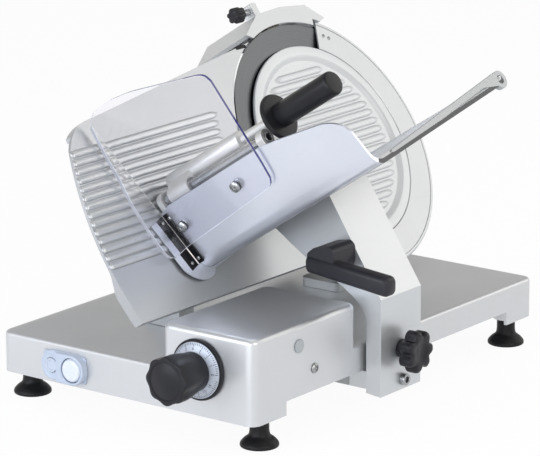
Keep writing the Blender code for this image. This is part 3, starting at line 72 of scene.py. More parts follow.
camera.matrix_world = Matrix.Translation(stand) @ Matrix((right, above, back)).transposed().to_4x4()
bpy.context.scene.camera = camera


# The studio: a white sweep that the camera, metal and clear plastic all see as white, under a ceiling
# that metal mirrors as grey, with large soft lamps in front, to the right, behind and overhead.
def linear(hex_colour):
    channels = [int(hex_colour[i : i + 2], 16) / 255 for i in (1, 3, 5)]
    return tuple(c / 12.92 if c <= 0.04045 else ((c + 0.055) / 1.055) ** 2.4 for c in channels) + (1.0,)


def feed(node, inputs):
    """Sets a node's inputs, given by name or number, to links or to values."""
    for socket, value in inputs.items():
        if isinstance(value, bpy.types.NodeSocket):
            node.id_data.links.new(value, node.inputs[socket])
        else:
            node.inputs[socket].default_value = value


def add_node(tree, kind, links=None, **settings):
    """A shader node with its settings and its inputs."""
    made = tree.nodes.new(f"ShaderNode{kind}")
    for key, value in settings.items():
        setattr(made, key, value)
    feed(made, links or {})
    return made


def seen_directly(tree):
    """One where the camera looks straight, through clear plastic or by way of a mirror, else nothing."""
    path = add_node(tree, "LightPath")
    seen = path.outputs["Is Camera Ray"]
    for other in ("Is Glossy Ray", "Is Transmission Ray"):
        seen = add_node(tree, "Math", {0: seen, 1: path.outputs[other]}, operation="MAXIMUM").outputs[0]
    return seen


scene = bpy.context.scene
scene.view_settings.view_transform = "Standard"
world = bpy.data.worlds.new("white_room")
scene.world = world
world.use_nodes = True
sky = world.node_tree
sky.nodes.clear()
dim = add_node(sky, "Background", {"Color": linear("#F4F6FA"), "Strength": 0.50})
white = add_node(sky, "Background", {"Color": (1, 1, 1, 1), "Strength": 1.0})
where_up = add_node(sky, "SeparateXYZ", {0: add_node(sky, "TexCoord").outputs["Generated"]})
CEILING = 0.43
fade = add_node(sky, "MapRange", {0: where_up.outputs[2], 1: 0.03, 2: 0.42, 3: 1.0, 4: CEILING})
ceiling = add_node(sky, "Background", {"Color": linear("#FFFCF7"), "Strength": fade.outputs[0]})
mirrored = add_node(sky, "LightPath").outputs["Is Glossy Ray"]
shown = add_node(sky, "MixShader", {0: mirrored, 1: white.outputs[0], 2: ceiling.outputs[0]})
chosen = add_node(sky, "MixShader", {0: seen_directly(sky), 1: dim.outputs[0], 2: shown.outputs[0]})
add_node(sky, "OutputWorld", {"Surface": chosen.outputs[0]})

# Matt white paper: it shows as plain white and still takes the machine's soft shadow.
SEEN_WHITE = 0.94
SWEEP = 6.0
SWEEP_DROP = 0.0002
sweep_finish = bpy.data.materials.new("white_paper_sweep")
sweep_finish.use_nodes = True
paper = sweep_finish.node_tree
paper.nodes.clear()
matt = add_node(paper, "BsdfDiffuse", {"Color": linear("#FAFAFA")})
glow = add_node(paper, "Emission", {"Color": (1, 1, 1, 1), "Strength": 1.0})
share = add_node(paper, "Math", {0: seen_directly(paper), 1: SEEN_WHITE}, operation="MULTIPLY")
floor_look = add_node(paper, "MixShader", {0: share.outputs[0], 1: matt.outputs[0], 2: glow.outputs[0]})
add_node(paper, "OutputMaterial", {"Surface": floor_look.outputs[0]})
floor_mesh = bpy.data.meshes.new("floor")
floor_corners = [(SWEEP * x, SWEEP * y, -SWEEP_DROP) for x, y in ((-1, -1), (1, -1), (1, 1), (-1, 1))]
floor_mesh.from_pydata(floor_corners, [], [(0, 1, 2, 3)])
floor_mesh.materials.append(sweep_finish)
floor = bpy.data.objects.new("floor", floor_mesh)
scene.collection.objects.link(floor)
lit_middle = Vector((0, 0, 0.15))
for name, spot, size, power, tint in (
    ("front_left_box", (-0.9, -2.4, 1.0), 1.6, 30.0, "#F1F6FF"),
    ("front_low_box", (0.75, -2.6, 0.55), 1.4, 22.0, "#F1F6FF"),
    ("right_box", (2.1, -0.6, 1.2), 1.4, 16.5, "#FFFDF8"),
    ("top_box", (0.2, 0.2, 2.4), 1.8, 8.0, "#FFFCF7"),
    ("rear_right_box", (1.15, 1.9, 1.25), 1.7, 12.0, "#FFFCF7"),
):
    lamp = bpy.data.lights.new(name, "AREA")
    lamp.size = size
    lamp.energy = power
    lamp.color = linear(tint)[:3]
    light = bpy.data.objects.new(name, lamp)
    scene.collection.objects.link(light)
    light.location = spot
    light.rotation_euler = (lit_middle - Vector(spot)).to_track_quat("-Z", "Y").to_euler()


def new_finish(name):
    """A material to be filled in: itself, its nodes, its shader and the place."""
    made = bpy.data.materials.new(name)
    made.use_nodes = True
    tree = made.node_tree
    return made, tree, tree.nodes["Principled BSDF"], add_node(tree, "TexCoord").outputs["Object"]


def toned(hex_colour, share):
    """A colour made darker or paler by a share of its light."""
    return tuple(c * share for c in linear(hex_colour)[:3]) + (1.0,)


def noise(tree, where, apart_mm, detail=2.0):
    """Soft noise with waves so many millimetres apart."""
    scale = 1000.0 / apart_mm
    return add_node(tree, "TexNoise", {"Vector": where, "Scale": scale, "Detail": detail}).outputs["Fac"]


def blend(tree, share, first, last):
    """A colour between two."""
    return add_node(tree, "Mix", {0: share, 6: first, 7: last}, data_type="RGBA").outputs[2]


def spread(tree, share, low, high):
    """A value between two."""
    return add_node(tree, "MapRange", {0: share, 3: low, 4: high}).outputs[0]


def relief(tree, height, strength, deep):
    """Fine unevenness of the skin."""
    return add_node(tree, "Bump", {"Strength": strength, "Distance": deep, "Height": height}).outputs[0]


def sanded_aluminium(name, colour, roughness, metallic, line_mm, depth):
    """Sanded and anodised aluminium: satin, with level lines and slight cloudiness.

    Real sanding lines are about a tenth of a millimetre apart; they are drawn wider so that they show.
    """
    made, tree, shader, where = new_finish(name)
    along = 0.02
    drawn_out = add_node(tree, "Mapping", {"Vector": where, "Scale": (along, along, 1.0)}).outputs[0]
    lines = noise(tree, drawn_out, line_mm, detail=3.0)
    cloud = noise(tree, where, apart_mm=71.43)
    feed(shader, {
        "Metallic": metallic,
        "Base Color": blend(tree, cloud, toned(colour, 0.93), linear(colour)),
        "Roughness": spread(tree, lines, roughness - 0.06, roughness + 0.06),
        "Normal": relief(tree, lines, depth, 0.0002),
    })
    return made


def piece(name, shape, finish, body, place=None, stands_for=(), crease=32.0):
    """A new piece from (points, faces) set in place, smooth up to the crease angle, riding on a body.

    Its one material slot holds the finish.
    """
    points, faces = shape
    mesh = bpy.data.meshes.new(name)
    work = bmesh.new()
    verts = [work.verts.new(p) for p in points]
    for face in faces:
        work.faces.new([verts[i] for i in face])
    bmesh.ops.recalc_face_normals(work, faces=work.faces)
    work.to_mesh(mesh)
    work.free()
    mesh.transform(place or Matrix())
    mesh.shade_smooth()
    mesh.set_sharp_from_angle(angle=math.radians(crease))
    mesh.materials.append(finish)
    made = bpy.data.objects.new(name, mesh)
    scene.collection.objects.link(made)
    if body:
        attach(made, body)
        if stands_for:
            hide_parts(*stands_for)
    return made


def carve(target, shape, place, operation="DIFFERENCE", crease=32.0):
    """Cuts a shape from the piece or fuses it on."""
    tool = piece("tool", shape, target.data.materials[0], None, place)
    step = target.modifiers.new("carve", "BOOLEAN")
    step.operation = operation
    step.solver = "EXACT"
    step.object = tool
    bpy.context.view_layer.update()
    done = bpy.data.meshes.new_from_object(target.evaluated_get(bpy.context.evaluated_depsgraph_get()))
    target.modifiers.remove(step)
    target.data = done
    done.shade_smooth()
    done.set_sharp_from_angle(angle=math.radians(crease))
    bpy.data.objects.remove(tool)


def soften(target, width, segments=3, angle=35.0):
    """A rounded edge where faces meet at more than the angle."""
    step = target.modifiers.new("edge", "BEVEL")
    step.width = width
    step.segments = segments
    step.limit_method = "ANGLE"
    step.angle_limit = math.radians(angle)
    step.harden_normals = True
    return target


def arc(radius, start, end, steps, x=0.0, y=0.0):
    """Points on a circle from one angle to another, in degrees."""
    angles = [math.radians(start + (end - start) * i / steps) for i in range(steps + 1)]
    return [(x + radius * math.cos(a), y + radius * math.sin(a)) for a in angles]


def round_box(x0, x1, y0, y1, radius, steps=8):
    """The outline of a rectangle with round corners."""
    corners = (
        (x1 - radius, y1 - radius), (x0 + radius, y1 - radius), (x0 + radius, y0 + radius),
        (x1 - radius, y0 + radius),
    )
    points = []
    for k, (x, y) in enumerate(corners):
        points += arc(radius, 90 * k, 90 * k + 90, steps, x, y)
    return points


def stack(rings):
    """Rings with equal counts joined in order, with a face at both ends."""
    count = len(rings[0])
    points = [p for ring in rings for p in ring]
    faces = [list(range(count))]
    for k in range(len(rings) - 1):
        for i in range(count):
            j = (i + 1) % count
            faces.append([k * count + i, k * count + j, (k + 1) * count + j, (k + 1) * count + i])
    faces.append([(len(rings) - 1) * count + i for i in range(count)])
    return points, faces


def lifted(outline, z):
    """A flat outline at one height."""
    return [(x, y, z) for x, y in outline]


def upright_block(x0, x1, y0, y1, corner, low, high, edge, steps=6):
    """A block with round corners and a rounded edge round its top."""
    rings = [lifted(round_box(x0, x1, y0, y1, corner), low)]
    for i in range(steps + 1):
        a = math.pi / 2 * i / steps
        d = edge * (1 - math.cos(a))
        rings.append(lifted(
            round_box(x0 + d, x1 - d, y0 + d, y1 - d, corner - d), high - edge + edge * math.sin(a),
        ))
    return stack(rings)


def slab(outline, low, high):
    return stack([lifted(outline, low), lifted(outline, high)])


def plain_box(x0, x1, y0, y1, z0, z1):
    return slab([(x0, y0), (x1, y0), (x1, y1), (x0, y1)], z0, z1)


def disc(radius, low, high, count=40):
    return slab(arc(radius, 0, 360 - 360 / count, count - 1), low, high)


at_base = Matrix.Translation(base_corner)
WIDTH = base_high.x - base_low.x
LENGTH = base_high.y - base_low.y
HOUSING_TOP = base_high.z - base_low.z
PAN_TOP = 0.0456
WALL = 0.0035
PAN_EDGE = 0.004
CORNER = 0.012
HOUSING_WIDE = 0.1246
HOUSING_LONG = 0.184
HOUSING_EDGE = 0.006
HOUSING_WALL = WALL + 0.0002
HOLLOW_CORNER = 0.008
LEG = 0.056
SKIRT = 0.0156
OVER = 0.01
# Sanded and anodised casting: pale and satin, with very fine level lines.
casing_finish = sanded_aluminium("sanded_anodised_aluminium_casting", "#D2D4D7", 0.38, 0.70, 0.8, 0.10)
pan = upright_block(-WIDTH, 0, 0, LENGTH, CORNER, 0, PAN_TOP, PAN_EDGE)
casing = piece("base_shell", pan, casing_finish, "base", at_base, ("base_casing",))
housing = upright_block(-HOUSING_WIDE, 0, 0, HOUSING_LONG, CORNER, 0.001, HOUSING_TOP, HOUSING_EDGE)
carve(casing, housing, at_base, "UNION")
pan_hollow = round_box(-WIDTH + WALL, -WALL, WALL, LENGTH - WALL, CORNER - WALL)
carve(casing, slab(pan_hollow, -0.002, PAN_TOP - WALL), at_base)
housing_hollow = round_box(
    -HOUSING_WIDE + HOUSING_WALL, -HOUSING_WALL, HOUSING_WALL, HOUSING_LONG - HOUSING_WALL, HOLLOW_CORNER,
)
carve(casing, slab(housing_hollow, -0.002, HOUSING_TOP - HOUSING_WALL), at_base)
for x in (-2 * WALL, -WIDTH - OVER):
    carve(casing, plain_box(x, x + 2 * WALL + OVER, LEG, LENGTH - LEG, -OVER, SKIRT), at_base)


# Feet: four turned feet of black rubber with a waist and a flared sole that grips the worktop, each
# screwed up into a round boss in a corner of the casing.
def grained_skin(name, colour, roughness, grain_mm, depth):
    """Moulded plastic or rubber, paint or enamel: a fine grain that spreads the highlights.

    The real grain is finer; it is drawn wider so that it shows.
    """
    made, tree, shader, where = new_finish(name)
    grain = noise(tree, where, grain_mm)
    cloud = noise(tree, where, apart_mm=25.0)
    feed(shader, {
        "IOR": 1.5,
        "Specular IOR Level": 0.22,
        "Base Color": blend(tree, cloud, linear(colour), toned(colour, 1.35)),
        "Roughness": spread(tree, grain, roughness - 0.05, roughness + 0.05),
        "Normal": relief(tree, grain, depth, 0.0003),
    })
    return made


def turned(profile, count=64):
    """A closed solid turned about Z from (radius, height) points that start and end on the axis."""
    points = []
    rows = []
    for r, z in profile:
        if r < 1e-7:
            rows.append([len(points)] * count)
            points.append((0.0, 0.0, z))
        else:
            rows.append(list(range(len(points), len(points) + count)))
            step = 2 * math.pi / count
            points += [(r * math.cos(step * i), r * math.sin(step * i), z) for i in range(count)]
    faces = []
    for low, high in zip(rows, rows[1:]):
        for i in range(count):
            j = (i + 1) % count
            corners = []
            for index in (low[i], low[j], high[j], high[i]):
                if index not in corners:
                    corners.append(index)
            if len(corners) > 2:
                faces.append(corners)
    return points, faces


def bent(first, knee, last, steps):
    """Points on a curve from the first to the last that heads for the knee between them."""
    shares = [k / steps for k in range(steps + 1)]
    return [tuple(first * (1 - t) ** 2 + knee * 2 * t * (1 - t) + last * t * t) for t in shares]


def eased(points, radius, steps=4, closed=False):
    """The same line with its corners rounded."""
    count = len(points)
    result = []
    for i, point in enumerate(points):
        if not closed and i in (0, count - 1):
            result.append(point)
            continue
        here = Vector(point)
        before = Vector(points[i - 1]) - here
        after = Vector(points[(i + 1) % count]) - here
        reach = min(radius, 0.48 * before.length, 0.48 * after.length)
        first = here + before.normalized() * reach
        last = here + after.normalized() * reach
        result += bent(first, here, last, steps)
    return result


def middle_of(node):
    """The middle of a solid's box."""
    low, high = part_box(node)
    return 0.5 * (low + high)


def half_of(node):
    """Half the size of a solid's box, along each axis."""
    return [0.5 * (high - low) for low, high in zip(*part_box(node))]


# Moulded rubber: almost black and dull, with soft broad highlights.
rubber = grained_skin("moulded_black_rubber", "#121214", 0.45, 0.8, 0.12)
FOOT = 0.030
FOOT_BOSS = 0.015
sole = 0.021
neck = 0.0105
foot_line = [
    (0, -FOOT), (sole, -FOOT), (sole, -FOOT + 0.004), (sole - 0.004, -FOOT + 0.0085),
    (neck + 0.001, -FOOT + 0.0125), (neck, -FOOT + 0.018), (neck, 0.0003), (0, 0.0003),
]
for end in ("front", "rear"):
    for side in ("right", "left"):
        node = f"foot_{end}_{side}"
        spot = middle_of(node)
        spot.z = base_corner.z
        under_boss = Matrix.Translation(spot)
        carve(casing, disc(FOOT_BOSS, 0.0006, PAN_TOP - 0.5 * WALL), under_boss, "UNION")
        piece(f"rubber_{node}", turned(eased(foot_line, 0.0022), 48), rubber, "base", under_boss, (node,))


# Blanking plug and socket screw on the housing's right face: a moulded cap pressed into its hole,
# and a domed stainless screw with a socket.
def pointing(point, x_axis, y_axis):
    """A place whose local Z is the product of its X and Y axes."""
    x = Vector(x_axis).normalized()
    y = Vector(y_axis).normalized()
    return Matrix.Translation(point) @ Matrix((x, y, x.cross(y))).transposed().to_4x4()


def ground_steel(name, colour, roughness):
    """Ground stainless steel: bright, with a short fine grain, drawn wide enough to show."""
    made, tree, shader, where = new_finish(name)
    grain = noise(tree, where, apart_mm=1.111)
    feed(shader, {
        "Metallic": 1.0,
        "Base Color": blend(tree, grain, toned(colour, 0.88), linear(colour)),
        "Roughness": spread(tree, grain, roughness - 0.05, roughness + 0.08),
    })
    return made


def moulded_pale(name, colour, roughness):
    """Moulded pale plastic: satin skin with faint flow clouds."""
    made, tree, shader, where = new_finish(name)
    cloud = noise(tree, where, apart_mm=8.333)
    feed(shader, {
        "IOR": 1.49,
        "Base Color": blend(tree, cloud, toned(colour, 0.94), linear(colour)),
        "Roughness": spread(tree, cloud, roughness - 0.04, roughness + 0.05),
    })
    return made


FACING_RIGHT = ((0, 1, 0), (0, 0, 1))


def on_right_face(node):
    """A place on the housing's right face at a node's middle, looking out."""
    mid = middle_of(node)
    return pointing((base_corner.x, mid.y, mid.z), *FACING_RIGHT)


# Ground stainless steel: grey and bright. Moulded polythene: pale grey and dull.
stainless = ground_steel("ground_stainless_steel", "#A6A8AA", 0.26)
plug_grey = moulded_pale("moulded_grey_plug", "#A9AFB2", 0.45)
plug_line = [
    (0, -0.006), (0.005, -0.006), (0.005, 0.0003), (0.0075, 0.0003), (0.0075, 0.0014), (0.0062, 0.0021),
    (0, 0.0022),
]
screw_line = [
    (0, -0.008), (0.003, -0.008), (0.003, 0.0003), (0.0058, 0.0003), (0.0056, 0.0014), (0.0040, 0.0026),
    (0.0027, 0.0029), (0.0025, 0.0012), (0, 0.0010),
]
for name, node, line, count, finish, hole in (
    ("plug_cap", "blanking_plug", plug_line, 40, plug_grey, 0.0053),
    ("side_socket_screw", "side_screw", screw_line, 36, stainless, 0.0033),
):
    place = on_right_face(node)
    carve(casing, disc(hole, -3 * WALL, 2 * WALL), place)
    piece(name, turned(eased(line, 0.0004), count), finish, "base", place, (node,))

# Switch: an oval moulded bezel clipped into the front panel, with a large domed start cap and a small
# stop key in a sunk ring, all in pale bluish plastic.
FACING_FRONT = ((1, 0, 0), (0, 0, 1))


def on_panel(node):
    """A place on the front panel at a node's middle, looking at the operator."""
    mid = middle_of(node)
    return pointing((mid.x, base_corner.y, mid.z), *FACING_FRONT)


# Moulded ABS in three pale bluish tones: satin, so that the rims and domes catch soft lights.
bezel_white = moulded_pale("moulded_bluish_white_bezel", "#BCC6D6", 0.30)
cap_white = moulded_pale("moulded_white_start_cap", "#DBE1EA", 0.26)
stop_blue = moulded_pale("moulded_grey_blue_stop_key", "#C3CCDA", 0.34)
bezel_place = on_panel("switch_bezel")
half_x, _, half_z = half_of("switch_bezel")


def switch_outline(inset, corner, steps=8):
    return round_box(-half_x + inset, half_x - inset, -half_z + inset, half_z - inset, corner, steps)


BODY_CORNER = 0.004
BODY_INSET = 0.0018
BODY_DEEP = 0.022
PANEL_INSET = 0.0015
rings = []
for d, z in (
    (0.0, 0.0003), (0.0, 0.0026), (0.0004, 0.0034), (0.0013, 0.0042), (0.0026, 0.0044), (0.0034, 0.0040),
):
    rings.append(lifted(switch_outline(d, half_z - 0.0004 - d, 14), z))
bezel = piece("switch_surround", stack(rings), bezel_white, "base", bezel_place, ("switch_bezel",))
carve(casing, slab(switch_outline(PANEL_INSET, BODY_CORNER), -2 * WALL, 2 * WALL), bezel_place)
carve(bezel, slab(switch_outline(BODY_INSET, BODY_CORNER), -BODY_DEEP, 0.0010), bezel_place, "UNION")
rings = []
for d, z in ((0.0, 0.0020), (0.0, 0.0066), (0.0003, 0.0078), (0.0009, 0.0085), (0.0018, 0.0088)):
    end = arc(half_z - 0.0002 - d, -90, 90, 28, half_x - half_z)
    rings.append(lifted(
        end + [
            (-0.0072 + d, half_z - 0.0004 - d), (-0.0076 + d, half_z - 0.0008 - d),
            (-0.0076 + d, -half_z + 0.0008 + d), (-0.0072 + d, -half_z + 0.0004 + d),
        ],
        z,
    ))
carve(bezel, stack(rings), bezel_place, "UNION")
KEY_BACK = -0.006
KEY_ROOM = 0.0006
for node, finish, face, edge in (
    ("start_button", cap_white, 0.0104, 0.003),
    ("stop_button", stop_blue, 0.0050, 0.0006),
):
    radius = half_of(node)[2]
    key_place = on_panel(node)
    carve(bezel, disc(radius + KEY_ROOM, -0.0125, 0.02, 56), key_place)
    key_line = [(0, KEY_BACK), (radius, KEY_BACK)]
    if node == "start_button":
        key_line += [(radius, 0.6 * face), (0.86 * radius, 0.93 * face), (0.45 * radius, face), (0, face)]
    else:
        key_line += [
            (radius, face), (0.86 * radius, face + 0.0004), (0.74 * radius, face),
            (0.66 * radius, face - 0.0012), (0, face - 0.0012),
        ]
    piece(
        f"{node}_cap", turned(eased(key_line, edge, 6), 56), finish, node.split("_")[0], key_place,
        (node,),
    )

# Thickness dial: a black disc behind a pale engraved cone, and a lobed black knob on the same shaft.
# The cone's marks and plain numbers count the slice thickness.
dial_place = on_panel("dial_ring")
rim = half_of("dial_ring")[0]
DIAL_HOLE = 0.0064
# Moulded black plastic: dark, with soft highlights. Turned and anodised cone: pale and bluish. Paint in
# the engraving: flat and dark.
knob_black = grained_skin("moulded_black_knob", "#202024", 0.36, 0.6, 0.10)
cone_pale = sanded_aluminium("turned_pale_dial_cone", "#B7BECA", 0.38, 0.35, 0.5, 0.05)
mark_black = grained_skin("filled_engraving_black", "#1C1E26", 0.5, 0.6, 0.02)
disc_line = [
    (DIAL_HOLE, 0.0006), (rim - 0.0006, 0.0006), (rim, 0.0014), (rim, 0.0042), (rim - 0.0010, 0.0052),
    (DIAL_HOLE, 0.0052),
]


def ring_turned(section, count=72, start=0.0, end=360.0):
    """A closed (radius, height) section turned about Z, all the way or from one angle to another."""
    whole = end - start >= 360.0
    size = len(section)
    rows = count if whole else count + 1
    points = []
    for k in range(rows):
        a = math.radians(start + (end - start) * k / count)
        points += [(r * math.cos(a), r * math.sin(a), z) for r, z in section]
    faces = []
    for k in range(count):
        m = (k + 1) % rows
        for i in range(size):
            j = (i + 1) % size
            faces.append([k * size + i, k * size + j, m * size + j, m * size + i])
    if not whole:
        faces.append(list(range(size)))
        faces.append([count * size + i for i in range(size)])
    return points, faces


piece("dial_back_disc", ring_turned(disc_line), knob_black, "dial", dial_place, ("dial_ring",))
CONE_OUT = rim - 0.0028
CONE_IN = 0.0205
CONE_LOW = 0.0054
CONE_EDGE = 0.0008
CONE_TOP = 0.0106
cone_line = [
    (DIAL_HOLE, CONE_LOW), (CONE_OUT, CONE_LOW), (CONE_OUT, CONE_LOW + CONE_EDGE), (CONE_IN, CONE_TOP),
    (DIAL_HOLE, CONE_TOP),
]
piece("dial_cone", ring_turned(cone_line), cone_pale, "dial", dial_place, ())
cone_rise = CONE_TOP - CONE_LOW - CONE_EDGE
slope = math.atan2(cone_rise, CONE_OUT - CONE_IN)


def on_cone(angle, share):
    """A place on the cone's face: X along the rim, Y towards the axis, Z out of the face."""
    a = math.radians(angle)
    r = CONE_OUT + (CONE_IN - CONE_OUT) * share
    z = CONE_LOW + CONE_EDGE + cone_rise * share
    outward = Vector((math.cos(a), math.sin(a), 0))
    along = Vector((math.sin(a), -math.cos(a), 0))
    inward = (-outward * math.cos(slope) + Vector((0, 0, 1)) * math.sin(slope)).normalized()
    return pointing(outward * r + Vector((0, 0, z)), along, inward)


def together(shapes):
    """Several shapes as one."""
    points = []
    faces = []
    for more, sides in shapes:
        start = len(points)
        points += more
        faces += [[i + start for i in side] for side in sides]
    return points, faces


DIAL_SWEEP = 350.0
MARKS = 75
NUMBERS = 15
MARK_HALF = 0.0003
MARK_LONG = 0.0040
MARK_SHORT = 0.0024
MARK_AT = 0.06
NUMBER_AT = 0.66
marks = []
for i in range(MARKS):
    spot = on_cone(DIAL_SWEEP * i / MARKS, MARK_AT)
    long = MARK_SHORT if i % (MARKS // NUMBERS) else MARK_LONG
    points, faces = plain_box(-MARK_HALF, MARK_HALF, 0, long, -0.0001, 0.00006)
    marks.append(([tuple(spot @ Vector(point)) for point in points], faces))
piece("dial_marks", together(marks), mark_black, "dial", dial_place, ())
for number in range(NUMBERS):
    words = bpy.data.curves.new(f"dial_number_{number}", "FONT")
    words.body = str(number)
    words.size = 0.0048
    words.extrude = 0.00004
    words.align_x = "CENTER"
    words.align_y = "CENTER"
    words.materials.append(mark_black)
    numeral = bpy.data.objects.new(f"dial_number_{number}", words)
    scene.collection.objects.link(numeral)
    foot_out = Matrix.Rotation(math.pi, 4, "Z")
    numeral.matrix_world = dial_place @ on_cone(DIAL_SWEEP * number / NUMBERS, NUMBER_AT) @ foot_out
    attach(numeral, "dial")


def lobed(radius, depth, lobes, hollow, per_lobe=14):
    """A round outline with lobes; a smaller hollow makes the flutes wider and the lobes narrower."""
    count = lobes * per_lobe
    points = []
    for i in range(count):
        a = 2 * math.pi * i / count
        r = radius - depth * (0.5 - 0.5 * math.cos(lobes * a)) ** hollow
        points.append((r * math.cos(a), r * math.sin(a)))
    return points


def lobed_knob(levels, lobes, hollow=1.6):
    """Rings of (height, radius, lobe depth) from the back to the face."""
    return stack([lifted(lobed(r, d, lobes, hollow), z) for z, r, d in levels])


low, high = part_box("dial_knob")
KNOB = half_of("dial_knob")[0]
knob_back = base_corner.y - high.y
knob_face = base_corner.y - low.y
knob_levels = [
    (knob_back, KNOB - 0.0062, 0.0), (knob_back + 0.0006, KNOB - 0.0054, 0.0),
    (knob_back + 0.008, KNOB - 0.0050, 0.0), (knob_back + 0.012, KNOB - 0.0042, 0.0006),
    (knob_back + 0.018, KNOB - 0.0026, 0.0016), (knob_back + 0.026, KNOB - 0.0010, 0.0022),
    (knob_back + 0.034, KNOB, 0.0024), (knob_face - 0.0026, KNOB, 0.0024),
    (knob_face - 0.0010, KNOB - 0.0005, 0.0023), (knob_face - 0.0002, KNOB - 0.0015, 0.0020),
    (knob_face, KNOB - 0.0026, 0.0016), (knob_face, KNOB - 0.0060, 0.0),
    (knob_face - 0.0007, KNOB - 0.0066, 0.0), (knob_face - 0.0007, KNOB - 0.0072, 0.0),
    (knob_face - 0.0002, KNOB - 0.0078, 0.0),
]
grip = piece(
    "dial_grip", lobed_knob(knob_levels, 8, 0.95), knob_black, "dial", dial_place, ("dial_knob",), 40.0,
)
shaft_hole = half_of("dial_shaft")[0] + 0.0003
shaft_end = base_corner.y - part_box("dial_shaft")[0].y + 0.0003
carve(grip, disc(shaft_hole, -0.02, shaft_end), dial_place, "DIFFERENCE", 40.0)
carve(casing, disc(shaft_hole, -2 * WALL, 2 * WALL), dial_place)

# Gauge plate: cast aluminium plate with a turned-back rim, hollow behind, its face raised in rounded
# ridges that let the food slide, sanded along the ridges and anodised.
joints = {joint["name"]: joint for joint in frame["joints"]}
cut_normal = Vector(joints["blade_spin"]["axis"])
blade_mid = Vector(joints["blade_spin"]["pos_m"])
cut_up = cut_normal.cross(Vector((0, 1, 0)))
head = pointing(blade_mid, (0, 1, 0), cut_up)


def curve_through(first, middle, last, steps):
    """Points on the circle through three points."""
    a = Vector((*first, 0))
    b = Vector((*middle, 0))
    c = Vector((*last, 0))
    d = 2 * (a.x * (b.y - c.y) + b.x * (c.y - a.y) + c.x * (a.y - b.y))
    aa, bb, cc = a.length_squared, b.length_squared, c.length_squared
    x = (aa * (b.y - c.y) + bb * (c.y - a.y) + cc * (a.y - b.y)) / d
    y = (aa * (c.x - b.x) + bb * (a.x - c.x) + cc * (b.x - a.x)) / d
    radius = math.hypot(a.x - x, a.y - y)
    start = math.degrees(math.atan2(a.y - y, a.x - x))
    span = (math.degrees(math.atan2(c.y - y, c.x - x)) - start) % 360
    if (math.degrees(math.atan2(b.y - y, b.x - x)) - start) % 360 > span:
        span -= 360
    return arc(radius, start, start + span, steps, x, y)


def ridge(x0, x1, y, face, width, height, near_end, far_end, across=10, taper=6):
    """A low ridge along X with a round back that runs out over both end lengths.

    Its edge lies a hair under the face that carries it, and its foot is sunk deeper still.
    """
    edge = face - 0.00005
    foot = face - 0.0008
    stations = [(x0 + near_end * k / taper, k / taper) for k in range(taper + 1)]
    stations += [(x1 - far_end * (1 - k / taper), 1 - k / taper) for k in range(taper + 1)]
    rings = []
    for x, near in stations:
        swell = math.sin(near * math.pi / 2)
        half = 0.5 * width * (0.35 + 0.65 * swell)
        ring = []
        for i in range(across + 1):
            a = math.pi * i / across
            ring.append((x, y - half * math.cos(a), edge + height * swell * math.sin(a) ** 0.8))
        ring += [(x, ring[-1][1], foot), (x, ring[0][1], foot)]
        rings.append(ring)
    return stack(rings)


PLATE_FACE = -0.001
PLATE_DEEP = 0.012
PLATE_SKIN = 0.0035
PLATE_LEFT = -0.432
PLATE_LOW = -0.125
PLATE_ARC = 0.1525
RIM_WALL = 0.004
# Anodised casting: satin and grey. The ridges are smoothed by the food, so they shine a little more.
plate_finish = sanded_aluminium("anodised_aluminium_gauge_plate", "#BCBFC3", 0.36, 0.80, 0.7, 0.12)
ridge_finish = sanded_aluminium("anodised_aluminium_ridges", "#C6C9CC", 0.30, 0.80, 0.6, 0.10)
plate_line = [(PLATE_LEFT, PLATE_LOW)]
plate_line += arc(PLATE_ARC, 235.0, 113.0, 60)
plate_line += curve_through(
    (PLATE_LEFT + 0.064, 0.104), (PLATE_LEFT + 0.031, 0.092), (PLATE_LEFT + 0.016, 0.076), 14,
)
plate_line += curve_through(
    (PLATE_LEFT + 0.016, 0.076), (PLATE_LEFT - 0.008, -0.030), (PLATE_LEFT, PLATE_LOW), 24,
)[1:-1]
plate_block = slab(plate_line, PLATE_FACE - PLATE_DEEP, PLATE_FACE)
plate = piece("gauge_face_plate", plate_block, plate_finish, "gauge", head, ("gauge_plate",))
pocket_arc = PLATE_ARC + RIM_WALL
pocket_low = PLATE_LOW + RIM_WALL
pocket = [(PLATE_LEFT + RIM_WALL, pocket_low)]
pocket += arc(pocket_arc, 180 + math.degrees(math.asin(-pocket_low / pocket_arc)), 127.0, 24)
pocket += curve_through(
    (PLATE_LEFT + 0.064, 0.100), (PLATE_LEFT + 0.033, 0.0888), (PLATE_LEFT + 0.020, 0.0748), 8,
)
pocket += [(PLATE_LEFT - 0.0008, 0.010), (PLATE_LEFT - 0.003, -0.045)]
carve(plate, slab(pocket, -0.03, PLATE_FACE - PLATE_SKIN), head)
rim_back = [
    (0.13, -0.0045), (-0.058, -0.0045), (-0.066, -0.0052), (-0.075, -0.0085), (-0.083, -0.0118),
    (-0.090, -0.0131),
]
rim_back = eased(rim_back, 0.008, 4) + [(-0.090, -0.03), (0.13, -0.03)]
rim_cut = [[(p, q, z) for q, z in rim_back] for p in (PLATE_LEFT - 0.03, PLATE_LEFT + 0.03)]
carve(plate, stack(rim_cut), head)
soften(plate, 0.0012, 4, 50.0)


def along_line(points, x):
    """Height of a line of (x, y) points at one x."""
    for (x0, y0), (x1, y1) in zip(points, points[1:]):
        if x <= x1:
            return y0 + (y1 - y0) * (x - x0) / max(x1 - x0, 1e-9)
    return points[-1][1]


